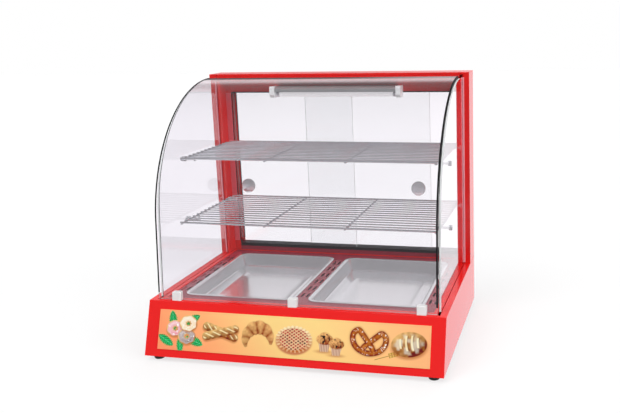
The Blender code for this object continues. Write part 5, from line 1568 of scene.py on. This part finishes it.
@dataclass
class StripLamp:
    """The lamp under the beam: a glass tube with metal ends between the two end caps, and its housing."""

    tube_radius: float = 6 * MM
    ferrule_length: float = 9 * MM
    ferrule_wall: float = 0.25 * MM
    ferrule_soft: float = 0.4 * MM
    ferrule_lip: float = 0.2 * MM
    ferrule_bite: float = 0.05 * MM
    ferrule_well: float = 1.0 * MM
    groove: tuple[float, float, float] = (3 * MM, 2.6 * MM, 2.2 * MM)
    groove_depth: float = 0.5 * MM
    in_cap: float = 5 * MM
    tube_soft: float = 1.5 * MM
    cap_edge: float = 1.4 * MM
    housing_edge: float = 0.6 * MM

    def build(self, nodes: dict[str, bpy.types.Object]) -> None:
        """Make the tube and its ends, and dress the housing and the caps, whose faint glow is painted light.

        Args:
            nodes: The frame's CAD nodes.
        """
        low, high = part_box("lamp_tube")
        middle_y, middle_z = (low.y + high.y) / 2, (low.z + high.z) / 2
        length = high.x - low.x
        radius = self.tube_radius - self.ferrule_wall
        steps = [(0, 0), (radius, 0), (radius, length), (0, length)]
        profile = rounded_profile(steps, [self.tube_soft] * 2, 5)
        shell = lathe(profile, (low.x, middle_y, middle_z), (1, 0, 0), 48)
        add_piece("glass_lamp_tube", shell, TUBE_GLASS, CASE, ["lamp_tube"])
        for hand, start in ((Hand.LEFT, low.x), (Hand.RIGHT, high.x)):
            self.ferrule(hand, start, middle_y, middle_z)
            # The caps' glow is painted light.
            dress_node(nodes[f"lamp_cap_{hand.value}"], GLOWING_LAMP_CAP, self.cap_edge)
        dress_node(nodes["lamp_housing"], LAMP_SHEET, self.housing_edge)

    def ferrule(self, hand: Hand, start: float, y: float, z: float) -> None:
        """The metal end of the tube, a sleeve with a rolled groove.

        Args:
            hand: Which end.
            start: The x of the tube's end.
            y: The tube's middle.
            z: The tube's middle.
        """
        inner, outer = self.tube_radius - self.ferrule_wall, self.tube_radius
        reach, lip, soft = self.ferrule_length + self.in_cap, self.ferrule_lip, self.ferrule_soft
        near, deep, far = (reach - back for back in self.groove)
        rows = [(0, lip), (outer - soft, lip), (outer, lip + soft), (outer, near),
                (outer - self.groove_depth, deep), (outer, far), (outer, reach - soft),
                (inner + self.ferrule_bite, reach), (inner - self.ferrule_well, reach - lip),
                (0, reach - lip)]
        shell = lathe(rows, (start, y, z), (-hand.side, 0, 0), 40)
        add_piece(f"lamp_tube_end_{hand.value}", shell, CHROME, CASE)


# Doors


@dataclass
class SlidingDoor:
    """A glass door's ground edges and the turned cup pull let into it."""

    hand: Hand
    skin: float = 0.12 * MM
    pull_radius: float = 15 * MM
    pull_rim: float = 18 * MM
    pull_lip: float = 1.2 * MM
    pull_wall: float = 1.5 * MM
    pull_floor: float = 1.5 * MM
    pull_slope: Span = (3 * MM, 2.2 * MM)
    finger_ring: tuple[float, float, float] = (6 * MM, 5 * MM, 4 * MM)
    ring_top: float = 2.0 * MM
    pull_soft: tuple[float, ...] = (
        0.8 * MM, 0.5 * MM, 0.2 * MM, 0.2 * MM, 0.5 * MM, 0.8 * MM, 0.6 * MM, 0.4 * MM, 0.6 * MM, 0.4 * MM,
        0.4 * MM, 0.4 * MM,
    )

    def build(self, nodes: dict[str, bpy.types.Object]) -> None:
        """Dress the pane and make its edges and its pull.

        Args:
            nodes: The frame's CAD nodes.
        """
        node = f"{self.hand.value}_door"
        body = f"{self.hand.value}_sliding_door"
        dress_node(nodes[node], DOOR_GLASS)
        low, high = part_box(node)
        for end, x in (("outer", low.x - self.skin), ("inner", high.x)):
            shell = block((x, low.y, low.z), (x + self.skin, high.y, high.z))
            add_piece(f"{node}_{end}_edge", shell, GROUND_EDGE, body)
        self.pull(node, body)

    def pull(self, node: str, body: str) -> None:
        """The cup pull: a dished disc with rolled rims and a raised ring in its floor.

        Args:
            node: The door's name.
            body: The door's body.
        """
        low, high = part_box(f"{node}_pull")
        place = ((low.x + high.x) / 2, low.y, (low.z + high.z) / 2)
        depth = high.y - low.y
        rim, radius, lip, floor = self.pull_rim, self.pull_radius, self.pull_lip, self.pull_floor
        bore = radius - self.pull_wall
        (slope, slope_z), (outer, crest, inner) = self.pull_slope, self.finger_ring
        steps = [(0, 0), (rim, 0), (rim, lip), (radius, lip), (radius, depth - lip), (rim, depth - lip),
                 (rim, depth), (bore, depth), (bore, slope_z), (bore - slope, floor), (outer, floor),
                 (crest, self.ring_top), (inner, floor), (0, floor)]
        shell = lathe(rounded_profile(steps, self.pull_soft, 4), place, (0, 1, 0), 64)
        add_piece(f"turned_{node}_pull", shell, STAINLESS, body, [f"{node}_pull"])


@dataclass
class DoorOpening:
    """What lines the door opening: the low grooved track, black edging on its sheets, and pile strips."""

    half_width: float = 289 * MM
    front_sheet_y: float = 194 * MM
    rear_sheet_y: float = 224 * MM
    sheet: float = 2 * MM
    head_z: float = 543 * MM
    jamb_width: float = 15.7 * MM
    edging: float = 1.0 * MM
    head_edging: float = 2.8 * MM
    wall: float = 0.2 * MM
    track_drop: float = 6.5 * MM
    groove_depth: float = 1.5 * MM
    groove_width: float = 5 * MM
    groove_pitch: float = 13 * MM
    facing: float = 0.15 * MM
    pile: Span = (5.5 * MM, 10 * MM)
    pile_depth: float = 0.6 * MM

    def build(self) -> None:
        """Make the lining."""
        low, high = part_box("lower_door_track")
        self.track(low, high)
        foot = high.z + self.wall
        for hand in Hand:
            self.jamb(hand, foot)
        near, far = self.front_sheet_y - self.wall, self.front_sheet_y + self.sheet + self.wall
        low_z, high_z = self.head_z - self.wall, self.head_z + self.head_edging
        shell = block((-self.half_width, near, low_z), (self.half_width, far, high_z))
        add_piece("head_edging", shell, RUBBER, CASE)

    def track(self, low: Vector, high: Vector) -> None:
        """The lower track: an E-shaped bar with a groove for each door, carried straight across.

        Args:
            low: The CAD track's lowest corner.
            high: The CAD track's highest corner.
        """
        top = high.z - self.track_drop
        floor = top - self.groove_depth
        middle = (low.y + high.y) / 2
        line = [(low.y, low.z), (high.y, low.z), (high.y, top)]
        for y in (middle + self.groove_pitch / 2, middle - self.groove_pitch / 2):
            near, far = y - self.groove_width / 2, y + self.groove_width / 2
            line += [(far, top), (far, floor), (near, floor), (near, top)]
        line.append((low.y, top))
        shell = loft(at_each_x(np.array(line), low.x, high.x))
        add_piece("grooved_door_track", shell, BLACK_TRACK, CASE, ["lower_door_track"])

    def jamb(self, hand: Hand, foot: float) -> None:
        """One side: edging on both sheets, the facing of the front sheet in a lighter rose red that is
        painted light, and the pile strip on the rear one.

        Args:
            hand: Which side.
            foot: The height at which the lining starts.
        """
        for place, y in (("front", self.front_sheet_y), ("rear", self.rear_sheet_y)):
            self.strip(f"jamb_edging_{hand.value}_{place}", hand, (-self.wall, self.edging),
                       (y - self.wall, y + self.sheet + self.wall), foot, RUBBER)
        face, back = self.front_sheet_y, self.rear_sheet_y
        self.strip(f"jamb_painted_light_facing_{hand.value}", hand, (self.edging, self.jamb_width),
                   (face - self.facing, face), foot, JAMB_LIGHT_PAINT)
        self.strip(f"jamb_pile_{hand.value}", hand, self.pile, (back - self.pile_depth, back), foot, PILE)

    def strip(self, name: str, hand: Hand, reach: Span, depth: Span, foot: float, finish: Surface) -> None:
        """An upright strip of the lining.

        Args:
            name: The piece's name.
            hand: Which side.
            reach: From and to, outwards from the opening's edge.
            depth: From and to along y.
            foot: Its lower end.
            finish: What it is made of.
        """
        place = (self.half_width + reach[0], self.half_width + reach[1])
        add_piece(name, side_block(hand, place, depth, (foot, self.head_z)), finish, CASE)


# Rear controls


@dataclass
class ControlPanel:
    """The rear controls: a fluted knob over a dial, rockers, cross-slotted screws."""

    flutes: int = 18
    skirt_radius: float = 19 * MM
    grip_radius: float = 14.5 * MM
    crown_radius: float = 8 * MM
    skirt: tuple[float, float, float] = (3 * MM, 4 * MM, 5 * MM)
    flare: float = 1 * MM
    taper: float = 0.8 * MM
    flute_depth: float = 0.8 * MM
    flute_run: float = 1.5 * MM
    knob_soft: tuple[float, ...] = (0.6 * MM, 0.8 * MM, 0.6 * MM, 0.6 * MM, 1.4 * MM)
    hub: float = 0.01 * MM
    bore: float = 3.3 * MM
    bore_depth: float = 14.6 * MM
    pointer_half: float = 0.7 * MM
    pointer_ends: Span = (0.4 * MM, 0.9 * MM)
    pointer_rise: Span = (0.6 * MM, 0.1 * MM)
    line_half: float = 0.6 * MM
    line_depth: float = 0.2 * MM
    line_reach: Span = (3 * MM, 12 * MM)
    mark_rise: float = 0.15 * MM
    mark_sink: float = 0.02 * MM
    strokes: int = 11
    sweep: float = 270.0
    stroke_inner: float = 21 * MM
    stroke_long: float = 24.5 * MM
    stroke_short: float = 23 * MM
    stroke_half: float = 0.45 * MM
    screw_head: float = 3.4 * MM
    screw_shank: float = 1.6 * MM
    screw_rise: Span = (1.8 * MM, 1.0 * MM)
    slot_half: float = 0.38 * MM
    slot_reach: float = 2.2 * MM
    slot_depth: float = 0.9 * MM

    def build(self, nodes: dict[str, bpy.types.Object]) -> None:
        """Make and dress the controls.

        Args:
            nodes: The frame's CAD nodes.
        """
        self.knob()
        self.dial()
        for place in ("left_low", "left_high", "right_low", "right_high"):
            self.screw(f"panel_screw_{place}")
        for name, finish, edge in (
            ("light_switch_housing", BLACK_PLASTIC, 0.5), ("light_switch_rocker", GREEN_LENS, 0.5),
            ("heater_switch_housing", BLACK_PLASTIC, 0.5), ("heater_switch_rocker", RED_LENS, 0.5),
            ("heating_indicator", RED_LENS, 0.0), ("cable_gland", BLACK_PLASTIC, 0.4),
            ("thermostat_body", BLACK_PLASTIC, 0.6), ("thermostat_spindle", ZINC, 0.0),
            ("terminal_block", WHITE_PLASTIC, 0.5), ("lamp_ballast", GALVANISED, 0.5),
        ):
            dress_node(nodes[name], finish, edge * MM)

    def knob(self) -> None:
        """The knob: radius(h, t) = profile radius less a flute wave on the grip, with a crowned top."""
        low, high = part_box("thermostat_knob")
        place = np.array([(low.x + high.x) / 2, low.y, (low.z + high.z) / 2])
        length = high.y - low.y
        grip, centre = self.grip_radius, self.hub
        low_h, mid_h, top_h = self.skirt
        steps = [(self.bore, 0), (self.skirt_radius, 0), (self.skirt_radius, low_h),
                 (grip + self.flare, mid_h), (grip, top_h), (grip - self.taper, length), (centre, length)]
        outside = rounded_profile(steps, self.knob_soft, 4)
        section = np.vstack([[(centre, self.bore_depth), (self.bore, self.bore_depth)], outside])
        sides = self.flutes * 8
        turn = np.linspace(0, 2 * math.pi, sides, endpoint=False)
        radius, height = section.T
        on_grip = np.clip((height - top_h) / self.flute_run, 0, 1) * (radius > self.crown_radius)
        wave = self.flute_depth * (0.5 - 0.5 * np.cos(turn * self.flutes))
        spread = radius[:, None] - on_grip[:, None] * wave[None]
        spoke, _, _, along = turned_spokes((0, 1, 0), sides)
        shell = loft(place + spread[..., None] * spoke[None] + height[:, None, None] * along)
        body = "knob_and_spindle"
        add_piece("fluted_knob", shell, BLACK_PLASTIC, body, ["thermostat_knob"])
        x, top, z = place[0], place[1] + mid_h, place[2]
        (near, far), (sink, rise) = self.pointer_ends, self.pointer_rise
        pointer = block((x - self.pointer_half, top - sink, z + grip + near),
                        (x + self.pointer_half, top + rise, z + self.skirt_radius - far))
        near, far = self.line_reach
        line = block((x - self.line_half, high.y - self.line_depth, z + near),
                     (x + self.line_half, high.y, z + far))
        add_piece("knob_pointer_mark", pointer.joined(line), MARK_WHITE, body)

    def dial(self) -> None:
        """Scale marks round the knob: strokes at even angles over the sweep, every fifth one long."""
        low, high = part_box("thermostat_knob")
        middle = ((low.x + high.x) / 2, (low.z + high.z) / 2)
        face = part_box("rear_control_panel")[1].y
        made = []
        for i in range(self.strokes):
            angle = math.radians(90 + self.sweep / 2 - self.sweep / (self.strokes - 1) * i)
            inner, outer = self.stroke_inner, self.stroke_short if i % 5 else self.stroke_long
            across = np.array([-math.sin(angle), math.cos(angle)]) * self.stroke_half
            ray = np.array([math.cos(angle), math.sin(angle)])
            ring = np.array([ray * inner - across, ray * outer - across,
                             ray * outer + across, ray * inner + across])
            ring = ring + middle
            loops = np.stack([np.column_stack([ring[:, 0], np.full(4, y), ring[:, 1]])
                              for y in (face + self.mark_rise, face + self.mark_sink)])
            made.append(loft(loops))
        add_piece("dial_marks", made[0].joined(*made[1:]), MARK_WHITE, CASE)

    def screw(self, name: str) -> None:
        """A pan-head screw with a cross slot, made as one height field over the head.

        height(r, t) falls by the slot's depth where |x| or |z| is under the slot's half width.

        Args:
            name: The CAD node that it stands for.
        """
        low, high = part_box(name)
        middle = ((low.x + high.x) / 2, low.y, (low.z + high.z) / 2)
        length = high.y - low.y
        head, shank, sides = self.screw_head, self.screw_shank, 64
        seat, dome = self.screw_rise
        turn = np.linspace(0, 2 * math.pi, sides, endpoint=False)
        crown = np.linspace(1, 0.02, 16)
        radius = np.concatenate([[shank, shank, head], head * crown])
        height = np.concatenate([[0, length - seat, length - seat],
                                 length - dome + dome * np.sqrt(np.clip(1 - crown**2, 0, 1))])
        height = np.broadcast_to(height[:, None], (len(radius), sides))
        x, z = radius[:, None] * np.cos(turn), radius[:, None] * np.sin(turn)
        in_slot = (np.minimum(np.abs(x), np.abs(z)) < self.slot_half) & (np.hypot(x, z) < self.slot_reach)
        in_slot[:3] = False
        height = height - in_slot * self.slot_depth
        _, aside, across, along = turned_spokes((0, 1, 0), sides)
        loops = np.array(middle) + x[..., None] * aside + z[..., None] * across + height[..., None] * along
        add_piece(f"cross_{name}", loft(loops), ZINC, CASE, [name], 25.0)


# The whole case


@dataclass
class FoldedCase:
    """The painted and black metalwork, and what is carried over from the CAD with a finish and soft edges."""

    fold: float = 0.7 * MM
    thin_edge: float = 0.3 * MM
    clip_edge: float = 0.8 * MM

    def build(self, nodes: dict[str, bpy.types.Object]) -> None:
        """Dress each carried-over node.

        Args:
            nodes: The frame's CAD nodes.
        """
        for names, finish, edge in (
            (("base_shell", "left_post", "right_post", "top_beam"), RED_PAINT, self.fold),
            (("rear_control_panel",), RED_PAINT, self.thin_edge),
            # The deck and sill take the darker red that is painted shade.
            (("deck_plate", "door_sill"), DECK_SHADE_PAINT, self.thin_edge),
            (("upper_door_track",), BLACK_TRACK, self.thin_edge),
            (("bottom_plate", "heat_pan"), GALVANISED, 0.0),
            (("left_heater", "right_heater"), HEATER_SHEATH, 0.0),
            (("glass_clip_left", "glass_clip_centre", "glass_clip_right"), WHITE_PLASTIC, self.clip_edge),
        ):
            for name in names:
                dress_node(nodes[name], finish, edge)


# Studio


@dataclass
class Studio:
    """Plain floor, soft lamps, a pale surround, and the camera that the photograph was taken with."""

    camera_place: tuple[float, float, float] = (0.5803, -1.6867, 0.7180)
    yaw: float = -0.22494
    pitch: float = -0.18951
    roll: float = -0.024057
    focal_px: float = 787.08
    axis_px: tuple[float, float] = (400.0, 170.0)
    ambient: float = 0.25
    floor_albedo: float = 0.22
    floor_white: float = 0.72
    floor_shine: float = 1.15
    front_shine: float = 0.3
    right_shine: float = 0.6
    sky: tuple[Span, ...] = (
        (0.0, 1.0), (0.085, 1.0), (0.10, 0.1), (0.24, 0.15), (0.33, 0.95), (0.42, 1.0),
        (0.52, 0.3), (1.0, 0.12),
    )
    window_x: Span = (-0.36, -0.12)
    window_z: Span = (0.45, 0.3)
    behind_y: Span = (-0.2, 0.25)
    floor_half: float = 9.0
    floor_fade_y: Span = (-1.5, -0.4)
    white: tuple[float, ...] = (1.0, 1.0, 1.0, 1.0)
    soft_white: tuple[float, ...] = (0.97, 0.98, 1.0, 1.0)
    shine_white: tuple[float, ...] = (1.0, 0.95, 0.98, 1.0)
    floor_tint: tuple[float, ...] = (1.0, 0.97, 1.0, 1.0)
    lamps: tuple[tuple[str, tuple[float, float, float], float, float], ...] = (
        ("key_light", (-0.55, -0.85, 1.35), 0.68, 40.0), ("side_light", (1.0, -0.35, 0.45), 0.75, 50.0),
        ("rear_light", (0.2, 1.0, 1.2), 0.4, 50.0),
    )

    def build(self) -> None:
        """Set up the studio."""
        bpy.context.scene.view_settings.view_transform = "Standard"
        self.camera()
        self.surround()
        self.floor()
        for lamp in self.lamps:
            self.lamp(*lamp)

    def camera(self) -> None:
        """The camera: forward from yaw and pitch, then rolled, with the off-centre axis as its shift."""
        data = bpy.data.cameras.new("photo_camera")
        data.sensor_width = 36.0
        data.lens = self.focal_px / PHOTO_WIDTH * data.sensor_width
        data.shift_x = (PHOTO_WIDTH / 2 - self.axis_px[0]) / PHOTO_WIDTH
        data.shift_y = (self.axis_px[1] - PHOTO_HEIGHT / 2) / PHOTO_WIDTH
        thing = bpy.data.objects.new("photo_camera", data)
        bpy.context.scene.collection.objects.link(thing)
        level = math.cos(self.pitch)
        forward = Vector((math.sin(self.yaw) * level, math.cos(self.yaw) * level, math.sin(self.pitch)))
        right = Vector((math.cos(self.yaw), -math.sin(self.yaw), 0.0))
        up = right.cross(forward)
        rolled_right = right * math.cos(self.roll) + up * math.sin(self.roll)
        rolled_up = up * math.cos(self.roll) - right * math.sin(self.roll)
        turn = Matrix((rolled_right, rolled_up, -forward)).transposed().to_4x4()
        thing.matrix_world = Matrix.Translation(self.camera_place) @ turn
        bpy.context.scene.camera = thing

    def surround(self) -> None:
        """White to the camera and through glass; mirrored, a white horizon and a dim room elsewhere."""
        world = bpy.data.worlds.new("surround")
        world.use_nodes = True
        bpy.context.scene.world = world
        tree = world.node_tree
        tree.nodes.clear()
        seen = add_node(tree, "Background", {"Color": self.white})
        soft = add_node(tree, "Background", {"Color": self.soft_white, "Strength": self.ambient})
        shine = add_node(tree, "Background", {"Color": self.shine_white, "Strength": self.sky_shine(tree)})
        straight = either_ray(tree, "Is Camera Ray", "Is Transmission Ray")
        first = add_node(tree, "MixShader", {"Fac": straight, 1: soft.outputs[0], 2: seen.outputs[0]})
        mirrored = {"Fac": mirrored_mask(tree), 1: first.outputs[0], 2: shine.outputs[0]}
        second = add_node(tree, "MixShader", mirrored)
        add_node(tree, "OutputWorld", {"Surface": second.outputs[0]})

    def sky_shine(self, tree: Tree) -> Socket:
        """How bright each direction of the room is in a mirror: a ramp over its rise, dimmed at the front.

        Args:
            tree: The world's tree.

        Returns:
            The socket that gives the brightness.
        """
        way = add_node(tree, "SeparateXYZ", {0: add_node(tree, "TexCoord").outputs["Generated"]}).outputs
        ramp = add_node(tree, "ValToRGB", {"Fac": way["Z"]})
        while len(ramp.color_ramp.elements) < len(self.sky):
            ramp.color_ramp.elements.new(0.5)
        for element, (rise, level) in zip(ramp.color_ramp.elements, self.sky):
            element.position = rise
            element.color = (level, level, level, 1.0)
        across = fade(tree, way["X"], self.window_x, (0.0, self.right_shine))
        window = work_out(tree, "MULTIPLY", across, fade(tree, way["Z"], self.window_z))
        brighter = work_out(tree, "MAXIMUM", ramp.outputs["Color"], window)
        front = {"A": self.front_shine, "B": brighter, "Factor": fade(tree, way["Y"], self.behind_y)}
        return add_node(tree, "Mix", front, data_type="FLOAT").outputs["Result"]

    def floor(self) -> None:
        """A wide pale floor that keeps the object's shadow and looks white where nothing shades it."""
        half = self.floor_half
        corners = [(-half, -half, 0), (half, -half, 0), (half, half, 0), (-half, half, 0)]
        mesh = bpy.data.meshes.new("studio_floor")
        mesh.from_pydata(corners, [], [(0, 1, 2, 3)])
        thing = bpy.data.objects.new("studio_floor", mesh)
        bpy.context.scene.collection.objects.link(thing)
        made = bpy.data.materials.new("studio_floor")
        made.use_nodes = True
        tree = made.node_tree
        shader = tree.nodes["Principled BSDF"]
        straight = either_ray(tree, "Is Camera Ray", "Is Transmission Ray")
        feed(tree, shader, {
            "Base Color": (*[self.floor_albedo] * 3, 1.0), "Roughness": 0.9, "Specular IOR Level": 0.0,
            "Emission Color": self.white,
            "Emission Strength": work_out(tree, "MULTIPLY", straight, self.floor_white),
        })
        place = add_node(tree, "SeparateXYZ", {0: add_node(tree, "TexCoord").outputs["Object"]})
        strength = fade(tree, place.outputs["Y"], self.floor_fade_y, (self.front_shine, self.floor_shine))
        mirrored = add_node(tree, "Emission", {"Color": self.floor_tint, "Strength": strength})
        both = {"Fac": mirrored_mask(tree), 1: shader.outputs["BSDF"], 2: mirrored.outputs["Emission"]}
        mixed = add_node(tree, "MixShader", both)
        feed(tree, tree.nodes["Material Output"], {"Surface": mixed.outputs["Shader"]})
        mesh.materials.append(made)

    def lamp(self, name: str, towards: tuple[float, float, float], level: float, spread: float) -> None:
        """A soft distant lamp that lights a white surface square to it at a given level.

        Args:
            name: Its name.
            towards: The direction that it shines from.
            level: How bright it makes a white surface that faces it, where 1 is white.
            spread: The angle that it fills, in degrees.
        """
        data = bpy.data.lights.new(name, "SUN")
        data.energy = level * math.pi
        data.angle = math.radians(spread)
        thing = bpy.data.objects.new(name, data)
        thing.location = Vector(towards) * 2
        thing.rotation_euler = Vector(towards).to_track_quat("Z", "Y").to_euler()
        thing.visible_glossy = False
        thing.visible_transmission = False
        bpy.context.scene.collection.objects.link(thing)


def clear_startup() -> None:
    """Remove what the startup file holds."""
    for thing in list(bpy.data.objects):
        bpy.data.objects.remove(thing)


def main() -> None:
    """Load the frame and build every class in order."""
    logging.basicConfig(level=logging.INFO, format="%(message)s")
    clear_startup()
    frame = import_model()
    nodes: dict[str, bpy.types.Object] = frame["nodes"]
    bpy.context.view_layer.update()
    Studio().build()
    FoldedCase().build(nodes)
    PictureStrip().build()
    GlassHouse().build(nodes)
    for hand in Hand:
        DrawnTray(hand).build()
        SlidingDoor(hand).build(nodes)
    DoorOpening().build()
    WireShelf(Level.UPPER, front_y=-84 * MM, z=419 * MM).build()
    WireShelf(Level.LOWER, front_y=-106 * MM, z=276 * MM).build()
    for level in Level:
        for hand in Hand:
            for row in ("front", "rear"):
                ShelfPeg(f"{level.value}_{row}_peg_{hand.value}", hand, row == "front").build()
    StripLamp().build(nodes)
    for end in ("front", "rear"):
        for hand in Hand:
            RubberFoot(f"foot_{end}_{hand.value}").build()
    ControlPanel().build(nodes)


if __name__ == "__main__":
    main()
